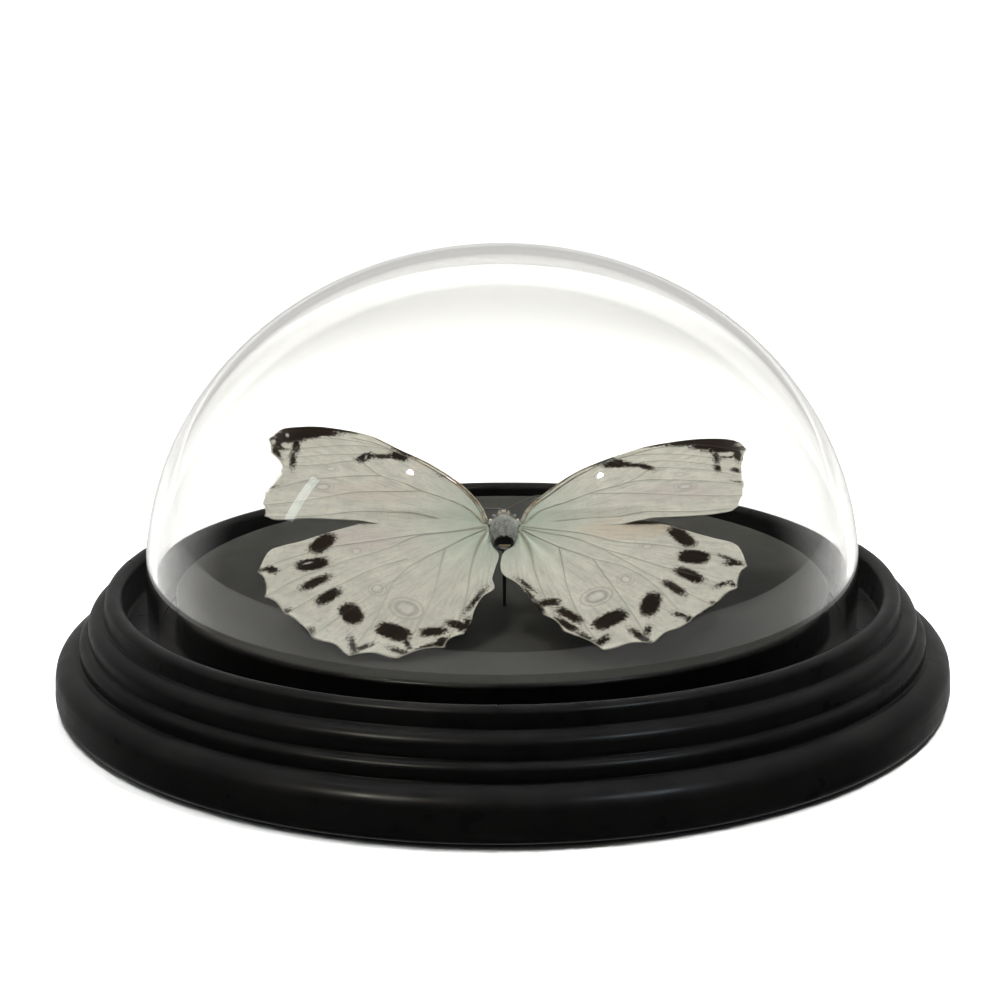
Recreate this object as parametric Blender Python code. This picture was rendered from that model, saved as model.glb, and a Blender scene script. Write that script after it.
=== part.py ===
"""A white morpho butterfly, pinned under a low glass dome on a turned black base.

Blender 4.5. Run it with: blender --background --python part.py
Lengths are written in millimetres and scaled to metres as each mesh is made. +Z is up, the
base stands on z = 0 with its centre at the origin, and the butterfly's head points to +Y.
"""

from math import cos, pi, radians, sin, sqrt

import bmesh
import bpy
from mathutils import Matrix, Vector

MM = 0.001
GAP = 0.3  # clearance between pieces that touch

# Turned base: radii and heights of its steps, from the middle outwards
BASE_BOTTOM = 0.4
TOP_HEIGHT = 26.3
TOP_RADIUS = 81.6
GROOVE_FLOOR = 17.0
RIM_INNER_RADIUS = 94.4
RIM_OUTER_RADIUS = 98.6
RIM_SHOULDER = 24.9
RIM_CROWN = 1.6
COLLAR_RADIUS = 99.1
COLLAR_FOOT = 21.9
BEAD_RADIUS = 102.9
BEAD_TOP = 19.0
BEAD_FOOT = 16.4
FILLET_RADIUS = 105.3
FILLET_TOP = 14.4
FILLET_FOOT = 12.2
OVOLO_RADIUS = 111.3
OVOLO_FOOT = 7.2
SIDE_RADIUS = 111.6
FOOT_ROUND = 2.2

# Felt pad let into the underside
FELT_RADIUS = 99.5
FELT_THICKNESS = 1.3

# Glass dome: a short straight wall, then half an ellipse
DOME_RADIUS = 88.4
DOME_SPRING = 30.0
DOME_TOP = 109.3
GLASS = 2.6

# Butterfly: its body frame sits between the wing roots, tipped head up
BODY_PLACE = (0.5, -23.0, 47.0)
BODY_PITCH = 21.5
ROOT_SPREAD = 3.0  # each wing's root stands this far from the body's middle
HIND_ROOT_BACK = 1.1
HIND_ROOT_DROP = 1.3
WING_THICKNESS = 0.4

THORAX_MIDDLE = (0.0, -2.2, -1.2)
THORAX_RADIUS = 3.3
THORAX_FRONT = 4.0  # half lengths of its two unequal ends
THORAX_REAR = 6.9
NECK_CUT = 3.6
WAIST_CUT = 5.0  # the abdomen has broken off here
HEAD_MIDDLE = (0.0, 3.1, -1.3)
HEAD_SIZE = (1.75, 1.35, 1.5)
ANTENNA_RADIUS = 0.22

PIN_RADIUS = 0.45
PIN_FOOT = 18.6
PIN_TOP = 45.6
PIN_FORWARD = -1.4  # from the body's place, along world Y

ROUND_STEPS = 64
DOME_STEPS = 10
CURVE_STEPS = 3


def clear_scene():
    for old in list(bpy.data.objects):
        bpy.data.objects.remove(old, do_unlink=True)


def material(name, colour, roughness, metallic=0.0, **sockets):
    """A Principled material; other sockets are given by name, with _ for each space."""
    made = bpy.data.materials.new(name)
    made.use_nodes = True
    shader = made.node_tree.nodes["Principled BSDF"]
    shader.inputs["Base Color"].default_value = (*colour, 1.0)
    shader.inputs["Roughness"].default_value = roughness
    shader.inputs["Metallic"].default_value = metallic
    for socket, value in sockets.items():
        shader.inputs[socket.replace("_", " ")].default_value = value
    return made


def new_object(name, bm, finish, smooth=True):
    """Turns a bmesh in millimetres into a named object in metres."""
    bmesh.ops.scale(bm, vec=(MM, MM, MM), verts=bm.verts)
    bmesh.ops.recalc_face_normals(bm, faces=bm.faces)
    mesh = bpy.data.meshes.new(name)
    bm.to_mesh(mesh)
    bm.free()
    if smooth:
        mesh.shade_smooth()
    made = bpy.data.objects.new(name, mesh)
    made.data.materials.append(finish)
    bpy.context.scene.collection.objects.link(made)
    return made


def arc(middle, reach, start, end, steps):
    """Points of an elliptic arc about middle; angles in degrees, 0 outwards and 90 up."""
    angles = [radians(start + (end - start) * i / steps) for i in range(steps + 1)]
    return [(middle[0] + reach[0] * cos(a), middle[1] + reach[1] * sin(a)) for a in angles]


def lathe(profile, steps=ROUND_STEPS):
    """Turns a (radius, height) profile that starts and ends on the Z axis."""
    bm = bmesh.new()
    corners = [bm.verts.new((radius, 0.0, height)) for radius, height in profile]
    edges = [bm.edges.new(pair) for pair in zip(corners, corners[1:])]
    bmesh.ops.spin(
        bm, geom=corners + edges, axis=(0, 0, 1), cent=(0, 0, 0), angle=2 * pi, steps=steps
    )
    bmesh.ops.remove_doubles(bm, verts=bm.verts, dist=1e-4)
    bmesh.ops.dissolve_degenerate(bm, dist=1e-5, edges=bm.edges)
    return bm


def base_profile():
    corner = 1.2
    profile = [(0.0, TOP_HEIGHT)]
    profile += arc((TOP_RADIUS - corner, TOP_HEIGHT - corner), (corner, corner), 90, 0, 3)
    profile += [(TOP_RADIUS, GROOVE_FLOOR), (RIM_INNER_RADIUS, GROOVE_FLOOR)]
    rim_half = (RIM_OUTER_RADIUS - RIM_INNER_RADIUS) / 2
    profile += arc(
        (RIM_INNER_RADIUS + rim_half, RIM_SHOULDER), (rim_half, RIM_CROWN), 180, 0, 6
    )
    profile += arc(
        (COLLAR_RADIUS, BEAD_TOP), (BEAD_RADIUS - COLLAR_RADIUS, COLLAR_FOOT - BEAD_TOP), 90, 0, 4
    )
    profile += arc(
        (BEAD_RADIUS, FILLET_TOP), (FILLET_RADIUS - BEAD_RADIUS, BEAD_FOOT - FILLET_TOP), 90, 0, 3
    )
    profile += arc(
        (FILLET_RADIUS, OVOLO_FOOT), (OVOLO_RADIUS - FILLET_RADIUS, FILLET_FOOT - OVOLO_FOOT), 90, 0, 6
    )
    profile += arc(
        (SIDE_RADIUS - FOOT_ROUND, BASE_BOTTOM + FOOT_ROUND), (FOOT_ROUND, FOOT_ROUND), 0, -90, 3
    )
    recess = FELT_RADIUS + GAP
    recess_roof = FELT_THICKNESS + GAP
    profile += [(recess, BASE_BOTTOM), (recess, recess_roof), (0.0, recess_roof)]
    return profile


def turned_base():
    paint = material("black_satin_paint", (0.012, 0.012, 0.013), 0.32)
    return new_object("turned_base", lathe(base_profile()), paint, smooth=False)


def felt_pad():
    felt = material("black_felt", (0.03, 0.03, 0.032), 0.95)
    profile = [(0.0, FELT_THICKNESS), (FELT_RADIUS, FELT_THICKNESS), (FELT_RADIUS, 0.0), (0.0, 0.0)]
    return new_object("felt_pad", lathe(profile), felt, smooth=False)


def glass_dome():
    """The wall is GLASS thick all over: the inner curve is the outer one, drawn in."""
    clear = material("clear_glass", (1.0, 1.0, 1.0), 0.02, Transmission_Weight=1.0, IOR=1.5)
    foot = GROOVE_FLOOR + GAP
    crown = DOME_TOP - DOME_SPRING
    outer = arc((0.0, DOME_SPRING), (DOME_RADIUS, crown), 90, 0, DOME_STEPS)
    inner = arc((0.0, DOME_SPRING), (DOME_RADIUS - GLASS, crown - GLASS), 0, 90, DOME_STEPS)
    outer[0] = (0.0, DOME_TOP)
    inner[-1] = (0.0, DOME_TOP - GLASS)
    profile = outer + [(DOME_RADIUS, foot), (DOME_RADIUS - GLASS, foot)] + inner
    return new_object("glass_dome", lathe(profile), clear)


def body_matrix():
    return Matrix.Translation(Vector(BODY_PLACE)) @ Matrix.Rotation(radians(BODY_PITCH), 4, "X")


def thorax_bmesh(extra=0.0):
    """An egg lying along Y, its two ends cut square; extra makes it fatter all over."""
    stations = [-WAIST_CUT + (WAIST_CUT + NECK_CUT) * i / 10 for i in range(11)]
    profile = []
    for along in stations:
        half = THORAX_FRONT if along > 0 else THORAX_REAR
        profile.append((THORAX_RADIUS * sqrt(1 - (along / half) ** 2) + extra, along))
    profile = [(0.0, -WAIST_CUT - extra)] + [(profile[0][0], -WAIST_CUT - extra)] + profile
    profile += [(profile[-1][0], NECK_CUT + extra), (0.0, NECK_CUT + extra)]
    if not extra:
        profile = [profile[0]] + profile[2:-2] + [profile[-1]]
    bm = lathe(profile, steps=24)
    lying = Matrix.Rotation(-pi / 2, 4, "X")  # the lathe's axis from +Z to +Y
    bm.transform(body_matrix() @ Matrix.Translation(Vector(THORAX_MIDDLE)) @ lying)
    return bm


def pin_bmesh(extra=0.0):
    radius = PIN_RADIUS + extra
    foot = PIN_FOOT - extra
    bm = lathe([(0.0, foot), (radius, foot), (radius, PIN_TOP + extra), (0.0, PIN_TOP + extra)], steps=12)
    bm.transform(Matrix.Translation((BODY_PLACE[0], BODY_PLACE[1] + PIN_FORWARD, 0.0)))
    return bm


def cutter(name, bm):
    made = new_object(name, bm, material(name, (0.8, 0.1, 0.1), 0.5), smooth=False)
    made.hide_render = True
    made.display_type = "WIRE"
    return made


def cut(piece, tool):
    modifier = piece.modifiers.new("Clear " + tool.name, "BOOLEAN")
    modifier.operation = "DIFFERENCE"
    modifier.solver = "EXACT"
    modifier.object = tool


def thorax():
    fur = material("grey_blue_fur", (0.42, 0.46, 0.47), 0.85)
    return new_object("thorax", thorax_bmesh(), fur)


def head():
    fur = material("buff_fur", (0.50, 0.43, 0.36), 0.8)
    bm = bmesh.new()
    bmesh.ops.create_uvsphere(bm, u_segments=16, v_segments=10, radius=1.0)
    bmesh.ops.scale(bm, vec=HEAD_SIZE, verts=bm.verts)
    bm.transform(body_matrix() @ Matrix.Translation(Vector(HEAD_MIDDLE)))
    return new_object("head", bm, fur)


# Each antenna starts on top of the head and droops under its forewing, in the body's frame.
ANTENNA_ROUTES = {
    "antenna_left": ((-1.0, 3.9, 0.55), (-4.2, 5.4, -0.5), (-9.0, 8.0, -2.2), (-14.0, 10.6, -3.8), (-18.5, 13.0, -5.0)),
    "antenna_right": ((1.0, 3.9, 0.55), (4.2, 7.0, 0.2), (8.0, 10.4, -0.4), (13.0, 12.8, -2.4), (19.0, 14.4, -4.6)),
}


def antenna(name):
    """A thin curve through the route, thickened to a small club at its tip."""
    horn = material(name + "_horn", (0.02, 0.017, 0.015), 0.45)
    place = body_matrix()
    route = ANTENNA_ROUTES[name]
    points = smooth_through([Vector(point) for point in route], CURVE_STEPS)
    curve = bpy.data.curves.new(name, "CURVE")
    curve.dimensions = "3D"
    curve.bevel_depth = ANTENNA_RADIUS * MM
    curve.bevel_resolution = 1
    curve.use_fill_caps = True
    spline = curve.splines.new("POLY")
    spline.points.add(len(points) - 1)
    for i, point in enumerate(points):
        spline.points[i].co = (*(place @ point * MM), 1.0)
        club = max(0.0, (i / (len(points) - 1) - 0.8) / 0.2)
        spline.points[i].radius = 1.0 + 0.9 * club
    made = bpy.data.objects.new(name, curve)
    made.data.materials.append(horn)
    bpy.context.scene.collection.objects.link(made)
    return made


def smooth_through(points, steps):
    """Catmull-Rom curve through the points, with its ends included."""
    ends = [2 * points[0] - points[1]] + points + [2 * points[-1] - points[-2]]
    found = []
    for p0, p1, p2, p3 in zip(ends, ends[1:], ends[2:], ends[3:]):
        for i in range(steps):
            t = i / steps
            found.append(
                0.5
                * (
                    2 * p1
                    + (p2 - p0) * t
                    + (2 * p0 - 5 * p1 + 4 * p2 - p3) * t**2
                    + (3 * p1 - p0 - 3 * p2 + p3) * t**3
                )
            )
    found.append(points[-1])
    return found


def scalloped(tips, depth, steps):
    """The margin from one vein's tip to the next, dipping inwards by depth between them."""
    found = []
    for first, second in zip(tips, tips[1:]):
        chord = second - first
        inwards = Vector((chord.y, -chord.x)).normalized()
        for i in range(steps):
            t = i / steps
            found.append(first + chord * t + inwards * depth * sin(pi * t))
    found.append(tips[-1])
    return found


# A wing's outline in its own plane: x outwards from the root, y forwards, in three stretches.
# The front edge runs from the root to the wing's corner, the veins end along the margin, and
# the rear edge runs back to the root. Left and right differ, as they do on the specimen.
WINGS = {
    "forewing_left": {
        "side": -1,
        "hind": False,
        "tilt": (24.0, 2.0, 0.8),
        "front": ((0.9, 1.6), (3.8, 6.7), (11.6, 16.5), (17.4, 21.6), (24.0, 27.0), (30.0, 31.6),
                  (36.0, 34.0), (44.0, 35.5), (50.0, 35.2), (53.4, 34.1), (55.8, 30.0)),
        "veins": ((55.8, 30.0), (54.7, 24.4), (51.0, 18.6), (54.4, 9.0), (54.6, 4.0), (53.6, -0.9)),
        "dip": 0.35,
        "rear": ((53.6, -0.9), (50.7, -2.3), (43.0, -1.6), (35.0, -1.6), (27.4, -1.7), (14.0, -2.0),
                 (3.0, -2.3), (0.9, -1.6)),
    },
    "forewing_right": {
        "side": 1,
        "hind": False,
        "tilt": (18.0, 3.6, -0.8),
        "front": ((0.9, 1.6), (2.8, 5.2), (6.4, 10.6), (11.6, 16.7), (17.1, 21.8), (24.1, 26.0),
                  (32.0, 30.5), (40.6, 32.6), (47.1, 33.4), (52.3, 33.0), (55.6, 31.2), (56.9, 27.6)),
        "veins": ((56.9, 27.6), (55.2, 21.6), (54.6, 16.0), (54.8, 11.0), (54.0, 5.8), (52.6, 1.4)),
        "dip": 0.35,
        "rear": ((52.6, 1.4), (51.0, -0.6), (47.0, -1.6), (43.0, -2.2), (34.7, -2.5), (14.0, -2.5),
                 (3.0, -2.3), (0.9, -1.6)),
    },
    "hindwing_left": {
        "side": -1,
        "hind": True,
        "tilt": (24.0, 1.5, 1.0),
        "front": ((0.9, 1.2), (11.2, 2.6), (20.8, 2.6), (27.5, 1.3), (33.0, -1.4), (39.0, -4.4),
                  (44.8, -7.2), (49.0, -8.9), (52.0, -11.2), (53.7, -18.0)),
        "veins": ((53.7, -18.0), (51.0, -27.2), (46.2, -32.8), (39.6, -40.3), (30.8, -46.2),
                  (20.0, -46.8), (10.0, -43.4), (5.6, -39.0)),
        "dip": 1.0,
        "rear": ((5.6, -39.0), (4.0, -34.4), (3.4, -30.6), (1.6, -25.8), (-1.0, -22.4), (-0.5, -18.8),
                 (-1.2, -14.6), (-0.4, -9.0), (0.2, -3.0), (0.6, -0.6)),
    },
    "hindwing_right": {
        "side": 1,
        "hind": True,
        "tilt": (20.0, 2.7, -1.5),
        "front": ((0.9, 1.2), (10.1, 2.2), (18.3, 2.2), (26.7, 1.5), (32.8, -0.2), (38.7, -3.1),
                  (46.8, -7.1), (50.8, -9.2), (52.4, -12.0), (53.3, -17.4)),
        "veins": ((53.3, -17.4), (50.3, -26.8), (44.8, -32.9), (39.4, -38.7), (30.6, -45.6),
                  (20.0, -48.0), (11.4, -41.4), (6.6, -34.6)),
        "dip": 0.8,
        "rear": ((6.6, -34.6), (5.0, -31.0), (3.1, -27.4), (0.7, -23.4), (-2.4, -19.6), (-3.4, -16.6),
                 (-2.4, -12.0), (-0.8, -7.0), (0.2, -3.0), (0.6, -0.6)),
    },
}


def wing_outline(wing):
    front, veins, rear = (
        [Vector(point) for point in wing[part]] for part in ("front", "veins", "rear")
    )
    outline = smooth_through(front, CURVE_STEPS)[:-1]
    outline += scalloped(veins, wing["dip"], 4)[:-1]
    outline += smooth_through(rear, CURVE_STEPS)
    return outline


def wing_matrix(wing):
    """Root beside the thorax, then pitch about X, dihedral about Y and sweep about Z."""
    side = wing["side"]
    pitch, dihedral, sweep = (radians(angle) for angle in wing["tilt"])
    root = Vector(BODY_PLACE) + Vector((side * ROOT_SPREAD, 0.0, 0.0))
    if wing["hind"]:
        root += Vector((0.0, -HIND_ROOT_BACK, -HIND_ROOT_DROP))
    turn = (
        Matrix.Rotation(pitch, 4, "X")
        @ Matrix.Rotation(-side * dihedral, 4, "Y")
        @ Matrix.Rotation(side * sweep, 4, "Z")
    )
    return Matrix.Translation(root) @ turn


def wing_piece(name, scales):
    wing = WINGS[name]
    bm = bmesh.new()
    rim = [bm.verts.new((wing["side"] * p.x, p.y, -WING_THICKNESS / 2)) for p in wing_outline(wing)]
    face = bm.faces.new(rim)
    raised = bmesh.ops.extrude_face_region(bm, geom=[face])
    top = [item for item in raised["geom"] if isinstance(item, bmesh.types.BMVert)]
    bmesh.ops.translate(bm, vec=(0.0, 0.0, WING_THICKNESS), verts=top)
    bm.transform(wing_matrix(wing))
    return new_object(name, bm, scales, smooth=False)


def mounting_pin():
    steel = material("pin_steel", (0.10, 0.10, 0.10), 0.35, metallic=1.0)
    return new_object("mounting_pin", pin_bmesh(), steel)


def build():
    clear_scene()
    base = turned_base()
    felt_pad()
    glass_dome()
    middle = thorax()
    head()
    for name in ANTENNA_ROUTES:
        antenna(name)
    mounting_pin()
    pin_hole = cutter("pin_hole", pin_bmesh(GAP))
    cut(base, pin_hole)
    cut(middle, pin_hole)
    socket = cutter("thorax_socket", thorax_bmesh(GAP))
    scales = material("white_wing_scales", (0.62, 0.63, 0.57), 0.6)
    for name in WINGS:
        cut(wing_piece(name, scales), socket)


build()
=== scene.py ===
# %% [markdown]
# # A white butterfly under a glass dome
# A dried butterfly stands on a hidden pin above a turned black base, and a low dome of clear
# glass covers it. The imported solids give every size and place. This lesson replaces each of them
# with a finer surface worked out from a formula, and gives each one its finish.
#
# The frame comes first. Its box is kept, so that the finished object can be measured against it.

# %% Load the frame
from math import pi, radians

import bpy
import numpy as np
from mathutils import Matrix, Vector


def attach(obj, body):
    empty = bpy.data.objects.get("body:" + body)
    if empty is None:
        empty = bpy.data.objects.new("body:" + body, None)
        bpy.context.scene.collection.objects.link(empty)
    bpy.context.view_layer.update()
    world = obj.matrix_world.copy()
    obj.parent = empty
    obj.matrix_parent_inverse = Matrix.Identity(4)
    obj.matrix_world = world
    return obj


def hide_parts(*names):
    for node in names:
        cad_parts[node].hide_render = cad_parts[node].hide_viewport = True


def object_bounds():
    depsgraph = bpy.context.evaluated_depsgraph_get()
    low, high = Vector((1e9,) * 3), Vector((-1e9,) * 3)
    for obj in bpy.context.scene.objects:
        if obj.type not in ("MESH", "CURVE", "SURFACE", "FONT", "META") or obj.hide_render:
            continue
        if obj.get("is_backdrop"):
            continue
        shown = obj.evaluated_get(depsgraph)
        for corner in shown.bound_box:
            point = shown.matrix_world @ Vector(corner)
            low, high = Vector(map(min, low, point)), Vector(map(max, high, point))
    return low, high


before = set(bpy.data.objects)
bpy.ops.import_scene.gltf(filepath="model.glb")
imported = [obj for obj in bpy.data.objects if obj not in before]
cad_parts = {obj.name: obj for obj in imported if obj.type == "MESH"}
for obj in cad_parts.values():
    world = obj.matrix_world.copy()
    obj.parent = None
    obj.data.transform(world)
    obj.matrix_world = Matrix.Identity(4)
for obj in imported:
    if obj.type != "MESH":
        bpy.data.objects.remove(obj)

cad_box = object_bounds()
MM = 0.001
rng = np.random.default_rng(7)
print("frame:", ", ".join(sorted(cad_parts)))

# %% [markdown]
# The camera stands about 58 cm in front of the middle and looks down at nearly 15 degrees, the
# height from which the dome shows both its curve and the ring of its base.

# %% Camera
CAMERA_AT, LOOK_DOWN, ROLL = (0.0, -0.57868, 0.19873), 14.775, -0.34
lens = bpy.data.cameras.new("camera")
lens.lens = 86.56
lens.sensor_width = 36.0
lens.shift_x = -0.0018
lens.clip_start = 0.01
lens.dof.use_dof = False
camera = bpy.data.objects.new("camera", lens)
camera.matrix_world = (
    Matrix.Translation(CAMERA_AT)
    @ Matrix.Rotation(radians(90 - LOOK_DOWN), 4, "X")
    @ Matrix.Rotation(radians(ROLL), 4, "Z")
)
bpy.context.scene.collection.objects.link(camera)
bpy.context.scene.camera = camera
print("camera at", tuple(round(v, 3) for v in camera.matrix_world.translation))

# %% [markdown]
# ## Surfaces from numbers
# Every piece below is a grid of points: rows along a profile or a wing's length, columns around it
# or across it. One helper numbers the corners of a grid's quads, a second one closes a stack of rings
# at both ends, and a third puts points and faces into a mesh. The quads run down the rows first, so
# that a profile which goes outwards and down makes faces that point outwards.


# %% Grid and mesh helpers
def grid_faces(rows, cols, wrap=False):
    """Corners of each quad of a rows x cols grid; with wrap, the last column joins the first."""
    row = np.arange(rows - 1)[:, None]
    col = np.arange(cols if wrap else cols - 1)[None, :]
    here = row * cols + col
    beside = row * cols + (col + 1) % cols
    return np.stack([here, here + cols, beside + cols, beside], -1).reshape(-1, 4)


def ring_faces(rings, sides):
    """Quads between closed rings, and a fan at each end round a point numbered after all of them."""
    first = rings * sides
    here = np.arange(sides)
    beside = (here + 1) % sides
    low = first - sides
    fans = [
        np.stack([np.full(sides, first), here, beside], 1),
        np.stack([np.full(sides, first + 1), low + beside, low + here], 1),
    ]
    return grid_faces(rings, sides, wrap=True).tolist() + np.vstack(fans).tolist()


def new_piece(name, points, faces, finishes, which=None, notes=None):
    """Makes a mesh from points in millimetres; notes holds the numbers kept on each point."""
    mesh = bpy.data.meshes.new(name)
    mesh.from_pydata((np.asarray(points) * MM).tolist(), [], faces)
    mesh.shade_smooth()
    for finish in finishes:
        mesh.materials.append(finish)
    if which is not None:
        mesh.polygons.foreach_set("material_index", np.asarray(which, np.int32))
    for label, values in (notes or {}).items():
        values = np.asarray(values, np.float32)
        kind = "FLOAT" if values.ndim == 1 else "FLOAT_VECTOR"
        layer = mesh.attributes.new(label, kind, "POINT")
        layer.data.foreach_set("value" if values.ndim == 1 else "vector", values.ravel())
    piece = bpy.data.objects.new(name, mesh)
    bpy.context.scene.collection.objects.link(piece)
    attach(piece, "root")
    print(f"{name}: {len(points)} points, {sum(len(face) - 2 for face in faces)} triangles")
    return piece


# %% [markdown]
# A lathe cuts one profile all the way round, so a turned base and a blown dome are both a surface of
# revolution: each point of the profile becomes a ring. The first and last points stand on the
# axis, and each is a single point with a fan of triangles, so there is no open pole.


# %% Lathe
def lathe(profile, steps):
    """(radius, height) becomes (radius cos a, radius sin a, height) for each angle a."""
    profile = np.asarray(profile, float)
    ring = profile[1:-1]
    angle = np.linspace(0, 2 * pi, steps, endpoint=False)
    points = np.stack(
        [ring[:, :1] * np.cos(angle), ring[:, :1] * np.sin(angle), np.repeat(ring[:, 1:], steps, 1)], -1
    ).reshape(-1, 3)
    faces = ring_faces(len(ring), steps)
    return np.vstack([points, [0, 0, profile[0, 1]], [0, 0, profile[-1, 1]]]), faces


def arc(middle, reach, start, end, steps):
    """Points of an elliptic arc about middle; angles in degrees, 0 outwards and 90 up."""
    angle = np.radians(np.linspace(start, end, steps + 1))
    return np.stack([middle[0] + reach[0] * np.cos(angle), middle[1] + reach[1] * np.sin(angle)], 1)


def line(start, end, steps):
    """Evenly spaced points from start to end, without the end."""
    return np.linspace(start, end, steps, endpoint=False)


# %% [markdown]
# Wings, veins and antennae follow smooth paths. A path is drawn through a few chosen points by the
# Catmull-Rom rule, and then cut into even steps by its length.


# %% Paths and tubes
def smooth_path(points, steps=6):
    """Catmull-Rom: each stretch is a cubic whose slope at a point is half its neighbours' gap."""
    p = np.asarray(points, float)
    p = np.vstack([2 * p[0] - p[1], p, 2 * p[-1] - p[-2]])
    t = np.linspace(0, 1, steps, endpoint=False)[None, :, None]
    a, b, c, d = (p[i : len(p) - 3 + i, None, :] for i in range(4))
    found = 0.5 * (
        2 * b + (c - a) * t + (2 * a - 5 * b + 4 * c - d) * t**2 + (3 * b - a - 3 * c + d) * t**3
    )
    return np.vstack([found.reshape(-1, p.shape[1]), p[-2]])


def evenly(path, count):
    """The path cut into count points, the same length of path apart."""
    run = np.concatenate([[0], np.cumsum(np.linalg.norm(np.diff(path, axis=0), axis=1))])
    at = np.linspace(0, run[-1], count)
    return np.stack([np.interp(at, run, path[:, k]) for k in range(path.shape[1])], 1)


def unit(vectors):
    return vectors / np.maximum(np.linalg.norm(vectors, axis=-1, keepdims=True), 1e-9)


def spokes_of(across, over, angle):
    """Unit steps at each angle, in the plane of two directions given for every point."""
    return across[:, None] * np.cos(angle)[:, None] - over[:, None] * np.sin(angle)[:, None]


def tube(path, radius, sides, up):
    """Rings of the given radius round a path, square to its direction, with a point at each end."""
    along = unit(np.gradient(path, axis=0))
    across = unit(np.cross(along, up))
    over = np.cross(across, along)
    spokes = spokes_of(across, over, np.linspace(0, 2 * pi, sides, endpoint=False))
    rings = path[:, None] + spokes * np.broadcast_to(radius, len(path))[:, None, None]
    points = np.vstack([rings.reshape(-1, 3), path[:1], path[-1:]])
    return points, ring_faces(len(path), sides)


# %% [markdown]
# ## Writing materials
# A material is a small graph of nodes. These helpers add a node with its values, join two sockets,
# do a step of arithmetic, mix two colours, and lay relief on a shader, so that each finish below
# reads as a short recipe.


# %% Node helpers
def add(tree, kind, values=None, **settings):
    """A new node; settings are its properties, values fill its input sockets by name or number."""
    node = tree.nodes.new(kind)
    for key, value in settings.items():
        setattr(node, key, value)
    for key, value in (values or {}).items():
        put(tree, value, node.inputs[key])
    return node


def put(tree, value, socket):
    """Joins a socket to this one, or writes a plain value into it."""
    if isinstance(value, bpy.types.NodeSocket):
        tree.links.new(value, socket)
    else:
        socket.default_value = value


def math(tree, operation, *values):
    return add(tree, "ShaderNodeMath", dict(enumerate(values)), operation=operation).outputs[0]


def plus(tree, *values):
    return math(tree, "ADD", *values)


def less(tree, *values):
    return math(tree, "SUBTRACT", *values)


def times(tree, *values):
    return math(tree, "MULTIPLY", *values)


def blend(tree, share, first, second):
    """Mixes two colours by share, from all first at 0 to all second at 1."""
    node = add(tree, "ShaderNodeMix", {"Factor": share}, data_type="RGBA")
    put(tree, first, node.inputs["A"])
    put(tree, second, node.inputs["B"])
    return node.outputs["Result"]


def ramp(tree, value, low, high, start=0.0, end=1.0):
    """Turns value between low and high into start to end, smoothly, and stays there outside."""
    values = {"Value": value, "From Min": low, "From Max": high, "To Min": start, "To Max": end}
    return add(tree, "ShaderNodeMapRange", values, interpolation_type="SMOOTHSTEP").outputs[0]


def noise(tree, where, scale, detail=3.0, rough=0.55):
    values = {"Vector": where, "Scale": scale, "Detail": detail, "Roughness": rough}
    return add(tree, "ShaderNodeTexNoise", values).outputs["Fac"]


def place_in(tree):
    return add(tree, "ShaderNodeTexCoord").outputs["Object"]


def stretched(tree, where, scale, turn=(0.0, 0.0, 0.0)):
    """The place scaled and turned, which draws a noise out into streaks."""
    return add(tree, "ShaderNodeMapping", {"Vector": where, "Scale": scale, "Rotation": turn}).outputs[0]


def coloured(tree, shader, colour):
    put(tree, colour, shader.inputs["Base Color"])


def raised(tree, shader, height, strength, distance):
    """Bump on the shader from a height."""
    values = {"Height": height, "Strength": strength, "Distance": distance}
    put(tree, add(tree, "ShaderNodeBump", values).outputs[0], shader.inputs["Normal"])


def kept(tree, label, output="Fac"):
    """The number, or with Vector the three numbers, kept on the mesh under this label."""
    return add(tree, "ShaderNodeAttribute", attribute_name=label).outputs[output]


def finish(name, **sockets):
    """A Principled material, its sockets given by name with _ for each space."""
    made = bpy.data.materials.new(name)
    made.use_nodes = True
    shader = made.node_tree.nodes["Principled BSDF"]
    for socket, value in sockets.items():
        shader.inputs[socket.replace("_", " ")].default_value = value
    return made, made.node_tree, shader


def new_group(name, inputs, outputs):
    """An empty node group with named sockets; inputs holds (name, type, value)."""
    tree = bpy.data.node_groups.new(name, "ShaderNodeTree")
    for label, kind, value in inputs:
        socket = tree.interface.new_socket(label, in_out="INPUT", socket_type=kind)
        if value is not None:
            socket.default_value = value
    for label, kind in outputs:
        tree.interface.new_socket(label, in_out="OUTPUT", socket_type=kind)
    return tree, tree.nodes.new("NodeGroupInput").outputs, tree.nodes.new("NodeGroupOutput").inputs


def use(tree, group, **values):
    """Places a node group in a material with its own values."""
    node = tree.nodes.new("ShaderNodeGroup")
    node.node_tree = group
    for socket, value in values.items():
        put(tree, value, node.inputs[socket.replace("_", " ")])
    return node.outputs


VALUE, VECTOR = "NodeSocketFloat", "NodeSocketVector"

# %% [markdown]
# ## Effects that several finishes share
# Dust lies on whatever faces up, in uneven drifts with brighter single motes. The group gives a
# mask for it. A second group gives small even relief, for felt, paint and horn alike. A third one
# frays the edge of a mark: it takes a distance from the mark's edge and breaks it up with noise,
# because a mark on a wing is made of whole scales and never has a clean outline.

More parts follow.
